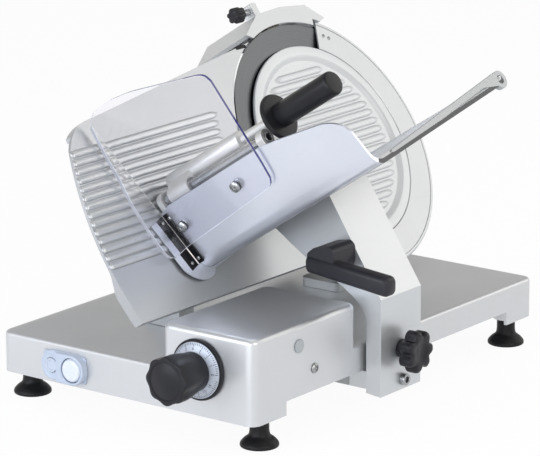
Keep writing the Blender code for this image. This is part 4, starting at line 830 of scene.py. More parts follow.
RIDGES = 14
PITCH = 0.0098
RIDGE_LOW = 0.0685
RIDGE_REACH = PLATE_ARC + 0.027
left_edge = [(PLATE_LOW, PLATE_LEFT)] + [(q, p) for p, q in plate_line[-23:][::-1]]
ridges = []
for i in range(RIDGES):
    q = PLATE_LOW + RIDGE_LOW + PITCH * i
    far = -math.sqrt(max(RIDGE_REACH * RIDGE_REACH - q * q, 0.0001))
    near = along_line(left_edge, q) + 0.0008
    ridges.append(ridge(near, far, q, PLATE_FACE, 0.90 * PITCH, 0.0024, 0.003, 0.014))
piece("gauge_face_ridges", together(ridges), ridge_finish, "gauge", head, (), 60.0)
tip_stop = piece(
    "gauge_tip_pad", plain_box(-0.086, -0.067, 0.135, 0.139, PLATE_FACE - 0.011, PLATE_FACE + 0.0004),
    rubber, "gauge", head, (),
)
soften(tip_stop, 0.0008)

# Blade: a hollow-ground disc of hardened steel on the spindle, thin at its edge and darker than the
# castings. It is ground round and round, so that the light runs across it in a fan.
BLADE = 0.150
COVER = 0.122
# Grinding rings are a few hundredths of a millimetre apart; they are drawn wider so that they show.
GRIND_MM = 0.6
blade_steel, blade_tree, blade_shader, blade_where = new_finish(
    "hollow_ground_blade_steel",
)
from_axis = add_node(blade_tree, "VectorMath", {0: blade_where, 1: blade_mid}, operation="DISTANCE")
ring_noise = add_node(
    blade_tree, "TexNoise", {"W": from_axis.outputs["Value"], "Scale": 1000.0 / GRIND_MM, "Detail": 2.0},
    noise_dimensions="1D",
).outputs["Fac"]
feed(blade_shader, {
    "Metallic": 1.0,
    "Anisotropic": 0.55,
    "Base Color": blend(blade_tree, ring_noise, linear("#525457"), linear("#6D7073")),
    "Roughness": spread(blade_tree, ring_noise, 0.22, 0.36),
})
blade_line = [
    (0.0123, -0.008), (COVER - 0.004, -0.008), (COVER + 0.001, -0.005), (BLADE - 0.0045, -0.0021),
    (BLADE, -0.0016), (BLADE, -0.0022), (BLADE - 0.006, -0.005), (COVER - 0.002, -0.012),
    (0.0123, -0.012),
]
piece("blade_disc", ring_turned(blade_line, 160), blade_steel, "blade", head, ("blade",), 12.0)

# Blade cover: a spun aluminium disc with a raised rim and ridges across its dish, so that the food
# slides over it. A rod through the spindle holds it from behind.
# Spun and anodised: pale and dull.
cover_finish = sanded_aluminium("spun_anodised_aluminium_cover", "#D1D4D7", 0.40, 0.50, 0.6, 0.08)
DISH = 0.104
DISH_FACE = -0.0026
COVER_PITCH = 0.011
COVER_RIDGES = 17
cover_line = [
    (0, -0.0054), (DISH - 0.001, -0.0054), (DISH + 0.005, -0.0022), (DISH + 0.010, -0.0014),
    (COVER - 0.003, -0.0024), (COVER, -0.0030), (COVER, 0.0002), (COVER - 0.0007, 0.0007),
    (COVER - 0.005, 0.0009), (DISH + 0.010, 0.0010), (DISH + 0.0068, 0.0008), (DISH + 0.004, -0.0004),
    (DISH, DISH_FACE), (0, DISH_FACE),
]
piece(
    "cover_disc", turned(eased(cover_line, 0.0006, 3), 128), cover_finish, "base", head, ("blade_cover",),
    30.0,
)
cover_ridges = []
for i in range(COVER_RIDGES):
    q = COVER_PITCH * (i - COVER_RIDGES // 2)
    half = math.sqrt(max((DISH - 0.005) ** 2 - q * q, 0.0001))
    cover_ridges.append(ridge(-half, half, q, DISH_FACE, 0.0090, 0.0024, 0.012, 0.012))
piece("cover_ridges", together(cover_ridges), cover_finish, "base", head, (), 60.0)

# Guard ring: a cast aluminium half ring round the blade's far side, with a fine turned groove near its
# edge. It is part of the fixed head and is held at its end by two small screws.
GUARD = 0.1589
RING_IN = 0.104
END_SCREWS = 0.1425
guard_line = [
    (RING_IN, -0.018), (GUARD - 0.001, -0.018), (GUARD, -0.016), (GUARD, -0.0008),
    (GUARD - 0.0005, 0.0004), (GUARD - 0.0018, 0.0012), (GUARD - 0.0040, 0.0012),
    (GUARD - 0.0043, 0.0001), (GUARD - 0.0048, 0.0001), (GUARD - 0.0051, 0.0012),
    (COVER + 0.0009, 0.0011), (COVER + 0.0002, 0.0006), (COVER + 0.0002, -0.0009),
    (GUARD - 0.005, -0.0009), (GUARD - 0.005, -0.014), (RING_IN, -0.014),
]
# Sanded like the base, a little darker.
ring_finish = sanded_aluminium("sanded_anodised_aluminium_ring", "#C6C9CC", 0.38, 0.70, 0.8, 0.10)
piece(
    "guard_half_ring", ring_turned(guard_line, 96, -121.0, 64.5), ring_finish, "base", head,
    ("guard_ring",), 30.0,
)
small_screw_line = [
    (0, -0.0008), (0.0022, -0.0008), (0.0022, 0.0004), (0.0016, 0.0009), (0.0010, 0.0010),
    (0.0009, 0.0005), (0, 0.0005),
]
for angle in (57.0, 60.5):
    a = math.radians(angle)
    spot = head @ Matrix.Translation((END_SCREWS * math.cos(a), END_SCREWS * math.sin(a), 0.0012))
    piece(f"guard_end_screw_{int(angle)}", turned(small_screw_line, 24), stainless, "base", spot, ())

# Sharpener hood: a cast aluminium cover over the top of the blade, its front given the ring's darker
# finish and the rest painted paler to lift their shade, with an ear for a clamping knob in lobed black
# plastic on a bright bush.
SHARP_TOP = 0.170
# Sanded casting with coarser lines than the base, painted pale to lift the shade on the hood's sides.
hood_painted_pale_finish = sanded_aluminium("sanded_aluminium_hood_painted_pale", "#E0E2E3", 0.40, 0.70, 0.9, 0.12)
hood_line = arc(0.152, 110.0, 66.5, 20)
hood_line += arc(GUARD + 0.0015, 66.5, 62.0, 3)
hood_line += [
    (0.086, 0.1445), (0.062, SHARP_TOP - 0.004), (0.017, SHARP_TOP + 0.001), (-0.028, SHARP_TOP - 0.001),
    (-0.062, 0.1485),
]
hood = piece(
    "sharpener_hood", slab(hood_line[::-1], -0.084, 0.0025), hood_painted_pale_finish, "base", head,
    ("sharpener_cover",),
)
hood_inside = [
    (-0.050, 0.130), (0.059, 0.130), (0.0605, 0.152), (0.077, 0.1475), (0.0605, 0.1635), (0.017, 0.1683),
    (-0.027, 0.1663), (-0.0575, 0.1485),
]
carve(hood, slab(hood_inside, -0.0815, 0.0), head)
carve(
    hood, slab(round_box(-0.030, -0.020, SHARP_TOP - 0.004, SHARP_TOP + 0.014, 0.003), -0.014, 0.002),
    head, "UNION",
)
# Painted light: the hood's front, which faces the lamps, takes the darker ring finish, and its sides in
# shade keep the paler one.
hood.data.materials.append(ring_finish)
facing = head.to_3x3() @ Vector((0, 0, 1))
for side in hood.data.polygons:
    if (hood.matrix_world.to_3x3() @ side.normal).dot(facing) > 0.95:
        side.material_index = 1
soften(hood, 0.0014, 3, 28.0)
knob_spot = head @ pointing((-0.030, 0.176, -0.006), (0, 1, 0), (0, 0, -1))
hood_knob_levels = [
    (0.0125, 0.0068, 0.0), (0.0130, 0.0078, 0.0006), (0.0140, 0.0090, 0.0018), (0.0156, 0.0095, 0.0022),
    (0.0262, 0.0095, 0.0022), (0.0280, 0.0088, 0.0020), (0.0290, 0.0074, 0.0014),
]
piece(
    "hood_knob", lobed_knob(hood_knob_levels, 6), knob_black, "sharpener_knob", knob_spot,
    ("sharpener_knob",), 40.0,
)
bush_line = [
    (0, 0.0003), (0.0042, 0.0003), (0.0042, 0.0030), (0.0036, 0.0034), (0.0036, 0.0118), (0.0050, 0.0124),
    (0, 0.0126),
]
piece("hood_knob_bush", turned(eased(bush_line, 0.0003), 32), stainless, "sharpener_knob", knob_spot, ())

# Food tray: one sheet of brushed and anodised aluminium, its wall on the operator's side bent round
# into the sloping floor, whose far edge is rolled. A flange stiffens the edge beside the blade, and a
# tapered cast plate with a round boss closes the outer end.
LEAN = math.radians(18.6)
FLOOR_RISE = math.radians(9.4)
TRAY_CORNER = (-0.3109, -0.0882, 0)
tray = head @ pointing(
    TRAY_CORNER, (math.cos(LEAN), math.sin(LEAN), 0), (-math.sin(LEAN), math.cos(LEAN), 0),
)
SHEET = 0.003
BEND = 0.020
BEND_DROP = 0.008
FLOOR = 0.2552
LIP = 0.009
LIP_TURN = 100.0
RIM = 0.0085
TRAY_START = 0.0045
TRAY_END = 0.276
WALL_POINTS = 6
BEND_POINTS = 15
FLOOR_POINTS = 4
LIP_POINTS = 12
FLOOR_FIRST = WALL_POINTS + BEND_POINTS - 1
FLOOR_LAST = FLOOR_FIRST + FLOOR_POINTS
tilt = LEAN - FLOOR_RISE
bend_mid = BEND * math.cos(tilt) - BEND_DROP - BEND_DROP * (1 - math.sin(tilt)) * math.tan(tilt)


def tray_row(height):
    """The sheet's outer line from the wall's top to the lip, each point with the way into the tray."""
    row = []
    for i in range(WALL_POINTS):
        row.append(((0.0, height + (bend_mid - height) * i / WALL_POINTS), (1.0, 0.0)))
    for i in range(BEND_POINTS):
        a = (0.5 * math.pi - tilt) * i / (BEND_POINTS - 1)
        x, y = math.cos(a), math.sin(a)
        row.append(((BEND - BEND * x, bend_mid - BEND * y), (x, y)))
    (v, w), (x, y) = row[-1]
    for i in range(1, FLOOR_POINTS + 1):
        run = FLOOR * i / FLOOR_POINTS
        row.append(((v + y * run, w - x * run), (x, y)))
    (v, w), (x, y) = row[-1]
    for i in range(1, LIP_POINTS + 1):
        a = math.radians(LIP_TURN * i / LIP_POINTS)
        nx = x * math.cos(a) - y * math.sin(a)
        ny = x * math.sin(a) + y * math.cos(a)
        row.append(((v + (x - nx) * LIP, w + (y - ny) * LIP), (nx, ny)))
    return row


wall_top = [
    (TRAY_START, 0.072), (0.020, 0.076), (0.090, 0.0765), (0.165, 0.077), (0.190, 0.074), (0.250, 0.063),
    (0.258, 0.060), (0.266, 0.0555), (0.272, 0.049), (TRAY_END, 0.040),
]
stops = [
    TRAY_START, 0.008, 0.014, 0.020, 0.055, 0.090, 0.128, 0.165, 0.178, 0.190, 0.220, 0.250, 0.254, 0.258,
    0.2600, 0.2640, 0.2680,
]
rounded_rim = [(0.2690, 0.9), (0.2705, 1.0), (0.2720, 0.94), (0.2740, 0.70), (TRAY_END, 0.36)]
tray_rings = []
for n, rim in [(n, 0.0) for n in stops] + rounded_rim:
    outer = []
    inner = []
    for i, ((v, w), (x, y)) in enumerate(tray_row(along_line(wall_top, n))):
        deep = SHEET + (RIM - SHEET) * rim * min(1.0, i / BEND_POINTS)
        outer.append((v, w, n))
        inner.append((v + x * deep, w + y * deep, n))
    tray_rings.append(outer + inner[::-1])
# Brushed and anodised sheet: pale and bluish, with fine brush lines.
tray_finish = sanded_aluminium(
    "brushed_anodised_aluminium_tray", "#DDE1EC", 0.30, 0.80, 0.5, 0.06,
)


def sheet_loft(rings):
    """Rings of a bent sheet's outer and inner line, closed at both ends by strips of small faces."""
    points, faces = stack(rings)
    count = len(rings[0])
    last = (len(rings) - 1) * count
    ends = []
    for i in range(count // 2 - 1):
        strip = [i, i + 1, count - 2 - i, count - 1 - i]
        ends.append(strip)
        ends.append([last + k for k in strip])
    return points, faces[1:-1] + ends


tray_sheet = piece(
    "tray_sheet", sheet_loft(tray_rings), tray_finish, "carriage", tray, ("food_tray",), 40.0,
)
soften(tray_sheet, 0.0003, 2, 60.0)
# The outer side under the floor and the rim's end faces: dark grey, a painted shade. The floor, worn by
# the food: satin and almost white.
underside = sanded_aluminium("tray_underside_painted_shade", "#5D5E60", 0.55, 0.60, 0.8, 0.10)
tray_sheet.data.materials.append(underside)
floor_satin = sanded_aluminium("satin_anodised_aluminium_tray_floor", "#E6E7E8", 0.55, 0.25, 3.0, 0.02)
tray_sheet.data.materials.append(floor_satin)
ROW = len(tray_rings[0]) // 2
UNDER_FIRST = 18
END_FIRST = 14
# Painted shade: the outer faces under the floor and the rim's end faces from the given point on take the
# dark finish; the inner floor takes the satin one.
for side in tray_sheet.data.polygons:
    places = [i % (2 * ROW) for i in side.vertices]
    at_end = min(side.vertices) >= 2 * ROW * (len(tray_rings) - 1)
    if min(places) >= UNDER_FIRST and max(places) < ROW or at_end and min(places) >= END_FIRST:
        side.material_index = 1
    elif min(places) >= ROW and max(places) < 2 * ROW - UNDER_FIRST:
        side.material_index = 2
FLANGE = 0.0265
flange_wide = [(0, FLANGE), (WALL_POINTS, FLANGE), (13, 0.0170), (18, 0.0085), (21, 0.0006)]
flange_row = tray_row(0.070)[: FLOOR_FIRST + 2]
flange_rings = []
for n in (0.0023, 0.0041):
    inner = [(v - x * 0.0003, w - y * 0.0003, n) for (v, w), (x, y) in flange_row]
    outer = []
    for i, ((v, w), (x, y)) in enumerate(flange_row):
        wide = along_line(flange_wide, i)
        outer.append((v - x * wide, w - y * wide, n))
    flange_rings.append(inner + outer[::-1])
flange = piece("tray_edge_flange", sheet_loft(flange_rings), tray_finish, "carriage", tray, (), 40.0)
carve(flange, plain_box(-0.0173, 0.001, 0.0037, 0.08, 0.0, 0.006), tray)
soften(flange, 0.0004, 2, 50.0)
# Satin casting: greyer than the sheet.
end_cast = sanded_aluminium(
    "cast_satin_aluminium_tray_end", "#B4B7BA", 0.45, 0.60, 0.8, 0.02,
)
BOSS = 0.0104
BOSS_DROP = 0.0032
BOSS_HOLE = 0.0050
(lip_v, lip_w), (up_v, up_w) = tray_row(0.06)[FLOOR_LAST]
floor_up = Vector((up_v, up_w))
floor_way = Vector((up_w, -up_v))
lip_mid = Vector((lip_v, lip_w)) + floor_up * LIP
lip_place = tray @ Matrix.Translation((lip_mid.x, lip_mid.y, TRAY_END))
boss_turn = math.degrees(math.atan2(floor_way.y, floor_way.x))
boss_mid = floor_up * -BOSS_DROP
end_line = arc(BOSS, boss_turn - 150, boss_turn + 91, 40, boss_mid.x, boss_mid.y)
for run, height in (
    (0.128, 0.0030), (0.236, -0.0012), (0.240, -0.0030), (0.236, -0.0050), (0.128, -0.0046),
    (0.036, -0.0012),
):
    spot = floor_up * height - floor_way * run
    end_line.append((spot.x, spot.y))
lip_cap = piece("lip_end_cap", slab(end_line, -0.0060, 0.0008), end_cast, "carriage", lip_place, ())
hole_at = lip_place @ Matrix.Translation((boss_mid.x, boss_mid.y, 0))
carve(lip_cap, disc(BOSS_HOLE, -0.0040, 0.01, 32), hole_at)
soften(lip_cap, 0.0006, 2, 40.0)

# Hand guard: one bent sheet of clear acrylic with polished edges, violet at the far end, and a painted
# white highlight on its bevels. It is screwed to the wall on two studs, with a black folded strip behind
# its bend.
# Polished clear acrylic: it shows what is behind it, with faint clouds in its gloss.
clear, clear_tree, clear_shader, clear_where = new_finish("polished_clear_acrylic")
clear_cloud = noise(clear_tree, clear_where, apart_mm=16.67)
feed(clear_shader, {
    "Transmission Weight": 1.0,
    "IOR": 1.49,
    "Base Color": blend(clear_tree, clear_cloud, linear("#F6F6FB"), linear("#FCFCFE")),
    "Roughness": spread(clear_tree, clear_cloud, 0.01, 0.045),
})


def polished_edge(name, deep, pale, strength):
    """A saw-cut and polished acrylic edge, which carries the sheet's own tint along its length; a glow
    strength above nought makes it shine as a painted highlight.
    """
    made, tree, shader, where = new_finish(name)
    tone = blend(tree, noise(tree, where, apart_mm=11.11), linear(deep), linear(pale))
    feed(shader, {
        "IOR": 1.49,
        "Roughness": 0.18,
        "Base Color": tone,
        "Emission Strength": strength,
        "Emission Color": tone,
    })
    return made


# Edges seen along the sheet: deep violet at the far end, grey elsewhere, and on the bevelled corners a
# faintly glowing white that is a painted highlight.
violet_edge = polished_edge("polished_acrylic_edge_violet", "#37356B", "#57558F", 0.0)
glowing_highlight_edge = polished_edge("acrylic_edge_painted_white_highlight", "#DDE0EE", "#F4F5FB", 0.15)
grey_edge = polished_edge("saw_cut_acrylic_edge_grey", "#9496A0", "#C3C5CF", 0.0)
THICK = 0.004
OUT = -0.0066
INNER = -0.0026
ROUND = 0.005
RETURN = -0.0395
GUARD_END = 0.1745
GUARD_FOOT = 0.0270
SHOULDER = 0.1912
SHOULDER_RISE = 0.0066
VIOLET_FROM = 0.150
flap_low = [
    (RETURN, 0.0405), (-0.0388, 0.0355), (-0.0355, 0.0310), (-0.0275, 0.0274), (-0.002, GUARD_FOOT),
]
flap_high = [
    (RETURN, 0.0412), (-0.0385, 0.060), (-0.0363, 0.079), (-0.0320, 0.105), (-0.0230, 0.132),
    (-0.0180, 0.155), (-0.0078, 0.191), (0, 0.195),
]
sheet_low = [
    (0.005, GUARD_FOOT), (0.143, 0.0355), (0.150, 0.0362), (0.1565, 0.0402), (0.1595, 0.048),
    (GUARD_END, 0.1640),
]
sheet_high = [
    (0.005, 0.193), (0.0085, 0.201), (0.0185, 0.205), (0.050, 0.206), (0.078, 0.202), (0.164, 0.1775),
    (0.170, 0.1745), (0.1730, 0.1710), (GUARD_END, 0.1644),
]
guard_rows = []
FLAP_STEPS = 14
for i in range(FLAP_STEPS + 1):
    v = RETURN + (OUT - 0.001 - RETURN) * (i / FLAP_STEPS) ** 1.2
    guard_rows.append((
        (v, TRAY_START), (v, TRAY_START + THICK), along_line(flap_low, v), along_line(flap_high, v),
    ))
turn_mid = (INNER - ROUND, TRAY_START + ROUND)
TURN_STEPS = 9
SHEET_STEPS = 30
far_turn = arc(ROUND, -90, 0, TURN_STEPS, *turn_mid)
near_turn = arc(ROUND - THICK, -90, 0, TURN_STEPS, *turn_mid)
for i in range(1, TURN_STEPS + 1):
    guard_rows.append((far_turn[i], near_turn[i], GUARD_FOOT, SHOULDER + SHOULDER_RISE * i / TURN_STEPS))
for i in range(1, SHEET_STEPS + 1):
    n = turn_mid[1] + (GUARD_END - turn_mid[1]) * math.sin(math.pi / 2 * i / SHEET_STEPS) ** 0.9
    guard_rows.append(((INNER, n), (OUT, n), along_line(sheet_low, n), along_line(sheet_high, n)))
guard_rings = []
for (v0, n0), (v1, n1), low_w, high_w in guard_rows:
    guard_rings.append([(v0, low_w, n0), (v0, high_w, n0), (v1, high_w, n1), (v1, low_w, n1)])
guard = piece("clear_guard_sheet", stack(guard_rings), clear, "carriage", tray, ("hand_guard",), 30.0)
# Light falls through the clear sheet on to the pieces behind it, so it darkens nothing.
guard.visible_shadow = False
guard.visible_diffuse = False
for edge_finish in (violet_edge, glowing_highlight_edge, grey_edge):
    guard.data.materials.append(edge_finish)
for side in guard.data.polygons:
    corners = {i % 4 for i in side.vertices}
    rows = {i // 4 for i in side.vertices}
    if corners in ({1, 2}, {0, 3}) or len(rows) == 1:
        side.material_index = 1 if guard_rows[max(rows)][0][1] > VIOLET_FROM else 3
# The bevels take the faintly glowing white edge: a painted highlight.
soften(guard, 0.0005, 1, 50.0).modifiers["edge"].material = 2
# Black anodised sheet: almost black, with a painted highlight along its fold.
strip_black = grained_skin("black_anodised_folded_strip", "#101013", 0.34, 0.7, 0.05)
strip_line = [
    (-0.0003, 0.0022), (-0.0003, 0.0130), (-0.0023, 0.0130), (-0.0023, 0.0042), (-0.0170, 0.0042),
    (-0.0170, 0.0022),
]
# Painted highlight: a thin rod of bright steel laid along the strip's fold stands for the light the fold
# catches.
fold_line = arc(0.0008, 0, 345, 23, -0.0030, 0.0049)
fold = stack([[(v, w, n) for v, n in fold_line] for w in (0.0045, 0.0705)])
fold_painted_highlight = ground_steel("fold_painted_highlight_steel", "#F2F3F6", 0.30)
piece("strip_fold_painted_highlight", fold, fold_painted_highlight, "carriage", tray, ())
strip = piece(
    "guard_corner_strip", stack([[(v, w, n) for v, n in strip_line] for w in (0.004, 0.070)]),
    strip_black, "carriage", tray, ("corner_strip",),
)
soften(strip, 0.0006, 2, 50.0)
tiny_line = [
    (0, -0.0004), (0.0021, -0.0004), (0.0021, 0.0006), (0.0014, 0.0012), (0.0009, 0.0013),
    (0.0008, 0.0008), (0, 0.0008),
]
OUTWARD = ((0, 1, 0), (0, 0, -1))
FROM_PLATE = ((1, 0, 0), (0, 1, 0))
for label, spot, axes in (
    ("wall_low", (-0.0023, 0.0100, 0.0092), OUTWARD),
    ("wall_high", (OUT, 0.0640, 0.0150), OUTWARD),
    ("flap_low", (-0.0100, 0.0100, 0.0042), FROM_PLATE),
    ("flap_high", (-0.0125, 0.0640, TRAY_START + THICK), FROM_PLATE),
):
    piece(
        f"strip_screw_{label}", turned(tiny_line, 24), stainless, "carriage",
        tray @ pointing(spot, *axes), (),
    )
head_line = [
    (0, 0.0003), (0.006, 0.0003), (0.006, 0.0023), (0.0026, 0.0023), (0.0026, 0.0069), (0.0062, 0.0069),
    (0.0060, 0.0082), (0.0046, 0.0092), (0.0030, 0.0096), (0.0027, 0.0088), (0.0012, 0.0086),
    (0.0009, 0.0094), (0, 0.0094),
]
for node, w, n in (("guard_screw_upper", 0.0557, 0.114), ("guard_screw_lower", 0.0490, 0.0215)):
    piece(
        f"{node}_stud", turned(head_line, 40), stainless, "carriage",
        tray @ pointing((0, w, n), *OUTWARD), (node,),
    )

# Pusher: a chromed rod in two brackets on the wall, a sliding collar, and a cast arm with a toothed
# plate that swings on it, with a round flange and a black grip.
ROD_AT = (0.014, 0.079)
GRIP_AT = (0.034, 0.088)
EYE = 0.0104
EYE_HOLE = 0.0085
NECK = 0.0085
# Polished chrome: bright as a mirror.
chrome = ground_steel("polished_chromed_steel", "#B9BCC0", 0.12)
rod_place = tray @ Matrix.Translation((*ROD_AT, 0))
rod_line = [
    (0, 0.0050), (0.0042, 0.0050), (0.0052, 0.0060), (0.0052, 0.1748), (0.0046, 0.1755), (0.0030, 0.1759),
    (0, 0.1760),
]
piece("pusher_guide_rod", turned(rod_line, 40), chrome, "carriage", rod_place, ("pusher_rod",))
collar_line = [
    (0.0055, 0.0215), (0.0097, 0.0215), (0.0097, 0.0233), (0.0082, 0.0233), (0.0082, 0.0555),
    (0.0055, 0.0555),
]
piece(
    "pusher_sliding_collar", ring_turned(collar_line, 48), chrome, "pusher_slider", rod_place,
    ("pusher_collar",),
)
# Satin casting: pale, with soft lines.
arm_grey = sanded_aluminium("cast_satin_aluminium_pusher", "#D6D6D4", 0.42, 0.70, 0.8, 0.08)
grip_place = tray @ Matrix.Translation((*GRIP_AT, 0))
body_line = [
    (0, 0.015), (0.0085, 0.015), (0.0105, 0.0162), (0.0115, 0.018), (0.0115, 0.128), (0.0105, 0.1305),
    (0.0075, 0.132), (0.006, 0.132), (0.006, 0.184), (0.005, 0.184), (0.005, 0.206), (0, 0.206),
]
pusher = piece(
    "pusher_cast_arm", turned(body_line, 48), arm_grey, "pusher", grip_place,
    ("pusher_arm", "pusher_eye"),
)
way = math.degrees(math.atan2(GRIP_AT[1] - ROD_AT[1], GRIP_AT[0] - ROD_AT[0]))
lug_line = arc(EYE, way + 90, way + 270, 24, *ROD_AT)
lug_line += arc(NECK, way - 90, way + 90, 18, *GRIP_AT)
carve(pusher, slab(lug_line, 0.0236, 0.0545), tray, "UNION")
PRESS_LEFT = 0.027
TEETH = 9
TOOTH_FIRST = 0.036
TOOTH_PITCH = 0.0125
TOOTH_TOP = 0.048
TOOTH_FACE = 0.0135
TOOTH_FOOT = 0.017
slope_down = math.tan(tilt)
press_line = [
    (PRESS_LEFT, -0.002), (0.150, -0.002 - 0.123 * slope_down), (0.152, 0.0), (0.150, 0.052),
    (0.138, 0.066), (0.050, 0.086), (0.036, 0.094), (PRESS_LEFT, 0.088),
]
carve(pusher, slab(eased(press_line, 0.004, 4, True), 0.016, 0.020), tray, "UNION")
teeth = []
for i in range(TEETH):
    v = TOOTH_FIRST + TOOTH_PITCH * i
    low_w = -slope_down * (v - PRESS_LEFT)
    rings = []
    for half, inset, n in ((0.0005, 0.002, TOOTH_FACE), (0.003, 0.0, TOOTH_FOOT)):
        low = low_w + inset
        top = TOOTH_TOP - inset
        rings.append([(v - half, low, n), (v + half, low, n), (v + half, top, n), (v - half, top, n)])
    teeth.append(stack(rings))
carve(pusher, together(teeth), tray, "UNION")
carve(pusher, disc(EYE_HOLE, 0.0, 0.1, 48), rod_place)
soften(pusher, 0.0005, 2, 45.0)
# Moulded plastic: black and satin.
grip_black = grained_skin("moulded_black_pusher_grip", "#1B1B1E", 0.34, 0.7, 0.08)
flange_line = [
    (0.0053, 0.1843), (0.0245, 0.1843), (0.0257, 0.1848), (0.0260, 0.1856), (0.0256, 0.1876),
    (0.0240, 0.1892), (0.0135, 0.1903), (0.0053, 0.1903),
]
piece(
    "pusher_round_flange", ring_turned(flange_line, 72), grip_black, "pusher", grip_place,
    ("pusher_flange",),
)
grip_line = [
    (0, 0.2063), (0.0053, 0.2063), (0.0053, 0.1906), (0.0132, 0.1906), (0.0135, 0.192), (0.0135, 0.230),
    (0.0134, 0.252), (0.0135, 0.268), (0.0131, 0.2706), (0.0118, 0.2722), (0.0090, 0.2726), (0, 0.2726),
]
piece("pusher_round_grip", turned(grip_line, 56), grip_black, "pusher", grip_place, ("pusher_handle",))

# Carriage arm: a heavy cast aluminium arm, thick under the tray and thinning to an upright plate beside
# the base, sanded and anodised, with a foot under the skirt bolted to the slide block.
UPRIGHT_OUT = 0.024
UPRIGHT_IN = 0.0046
ARM_FRONT = 0.1932
ARM_BACK = ARM_FRONT + 0.0752
ARM_FOOT = -0.011
ARM_BEND = 0.0987
ARM_DEEP = 0.044
ARM_STEPS = 20
plane_point = Vector((-HOUSING_WIDE - 0.0074, 0, HOUSING_TOP + 0.0018))
floor_start = tray @ Vector((*tray_row(0.076)[FLOOR_FIRST][0], 0))
floor_height = (floor_start - blade_mid).dot(cut_up) - PLATE_LOW
floor_y = floor_start.y - base_corner.y


def arm_top(n, y):
    """A point under the tray's floor, in the base's frame."""
    up = floor_height + (y - floor_y) * math.tan(FLOOR_RISE) - 0.0003
    return plane_point + cut_normal * n + cut_up * up


face_n = (UPRIGHT_OUT - plane_point.x) * cut_normal.x + (ARM_BEND - plane_point.z) * cut_normal.z
arm_rings = []
for y in (ARM_FRONT, ARM_BACK):
    top_out = arm_top(face_n, y)
    top_in = arm_top(ARM_DEEP, y)
    line = [
        (UPRIGHT_OUT, ARM_FOOT), (UPRIGHT_OUT, ARM_BEND), (top_out.x, top_out.z), (top_in.x, top_in.z),
    ]
    line += bent(
        Vector((-0.0698, 0.1258)), Vector((UPRIGHT_IN, 0.096)), Vector((UPRIGHT_IN, 0.070)), ARM_STEPS,
    )
    line.append((UPRIGHT_IN, ARM_FOOT + 0.002))
    arm_rings.append([(x, y, z) for x, z in line])
# Sanded like the base: pale and satin, with level lines.
arm_finish = sanded_aluminium("sanded_anodised_aluminium_arm", "#CFD2D5", 0.36, 0.70, 0.9, 0.08)
arm = piece(
    "carriage_cast_arm", stack(arm_rings), arm_finish, "carriage", at_base, ("carriage_arm",), 25.0,
)
arm_mid = 0.5 * (ARM_FRONT + ARM_BACK)
FOOT_HALF = 0.027
STAR_HEIGHT = 0.0365
SCREW_SHIFT = 0.004
SCREW_HEIGHT = 0.0005
BOLT_HOLE = 0.0043
arm_foot = plain_box(
    -0.0257, UPRIGHT_IN + 0.004, arm_mid - FOOT_HALF, arm_mid + FOOT_HALF, -0.0085, SKIRT - 0.004,
)
carve(arm, arm_foot, at_base, "UNION", 25.0)
star_place = at_base @ pointing((UPRIGHT_OUT, arm_mid, STAR_HEIGHT), *FACING_RIGHT)
screw_spot = at_base @ pointing((UPRIGHT_OUT, arm_mid + SCREW_SHIFT, SCREW_HEIGHT), *FACING_RIGHT)
for hole_spot in (star_place, screw_spot):
    carve(arm, disc(BOLT_HOLE, -0.012, 0.01), hole_spot, "DIFFERENCE", 25.0)
soften(arm, 0.0016, 4, 22.0)

# Star knob and foot screw on the arm: a seven-lobed black plastic knob on a bright stud, and a
# stainless socket screw.
star_levels = [
    (0.0003, 0.0100, 0.0), (0.0010, 0.0105, 0.0), (0.0092, 0.0105, 0.0), (0.0104, 0.0150, 0.0016),
    (0.0116, 0.0216, 0.0048), (0.0132, 0.0236, 0.0060), (0.0156, 0.0240, 0.0062),
    (0.0240, 0.0240, 0.0062), (0.0262, 0.0232, 0.0060), (0.0276, 0.0214, 0.0052),
    (0.0280, 0.0190, 0.0040), (0.0280, 0.0105, 0.0), (0.0272, 0.0095, 0.0),
]
piece(
    "arm_star_knob", lobed_knob(star_levels, 7), knob_black, "star_knob", star_place, ("star_knob",),
    40.0,
)
stud_line = [(0, -0.011), (0.0034, -0.011), (0.004, -0.0104), (0.004, 0.0), (0, 0.0)]
piece("star_knob_stud", turned(stud_line, 32), stainless, "star_knob", star_place, ())
foot_screw_line = [
    (0, -0.011), (0.004, -0.011), (0.004, 0.0003), (0.0068, 0.0003), (0.0068, 0.0050), (0.0064, 0.0058),
    (0.0056, 0.0060), (0.0036, 0.0060), (0.0034, 0.0054), (0.0034, 0.0026), (0, 0.0022),
]
piece("arm_foot_screw", turned(foot_screw_line, 40), stainless, "carriage", screw_spot, ("arm_screw",))

# Push handle: a dark moulded grip that the operator pushes the carriage with, lying along X, and a
# block in one piece with it that is screwed to the arm's front face.
# Moulded plastic: dark grey and satin.
handle_black = grained_skin("moulded_dark_grey_handle", "#29292E", 0.34, 0.7, 0.08)
GRIP_LEFT = -0.046
GRIP_RIGHT = 0.061
GRIP_Y = 0.160
GRIP_Z = 0.1375
GRIP_FALL = 0.0105
grip_rings = []
for x, y_half, z_half in (
    (GRIP_LEFT, 0.0080, 0.0070),
    (GRIP_LEFT + 0.0008, 0.0092, 0.0082),
    (GRIP_LEFT + 0.003, 0.0105, 0.0095),
    (GRIP_RIGHT - 0.006, 0.0105, 0.0105),
    (GRIP_RIGHT - 0.003, 0.0102, 0.0102),
    (GRIP_RIGHT - 0.0010, 0.0090, 0.0090),
    (GRIP_RIGHT, 0.0072, 0.0072),
):
    z = GRIP_Z - GRIP_FALL * (x - GRIP_LEFT) / (GRIP_RIGHT - GRIP_LEFT)
    grip_rings.append([
        (x, GRIP_Y + a, z + b)
        for a, b in round_box(-y_half, y_half, -z_half, z_half, 0.0058, 6)
    ])
handle = piece("push_grip", stack(grip_rings), handle_black, "carriage", at_base, ("push_handle",), 40.0)
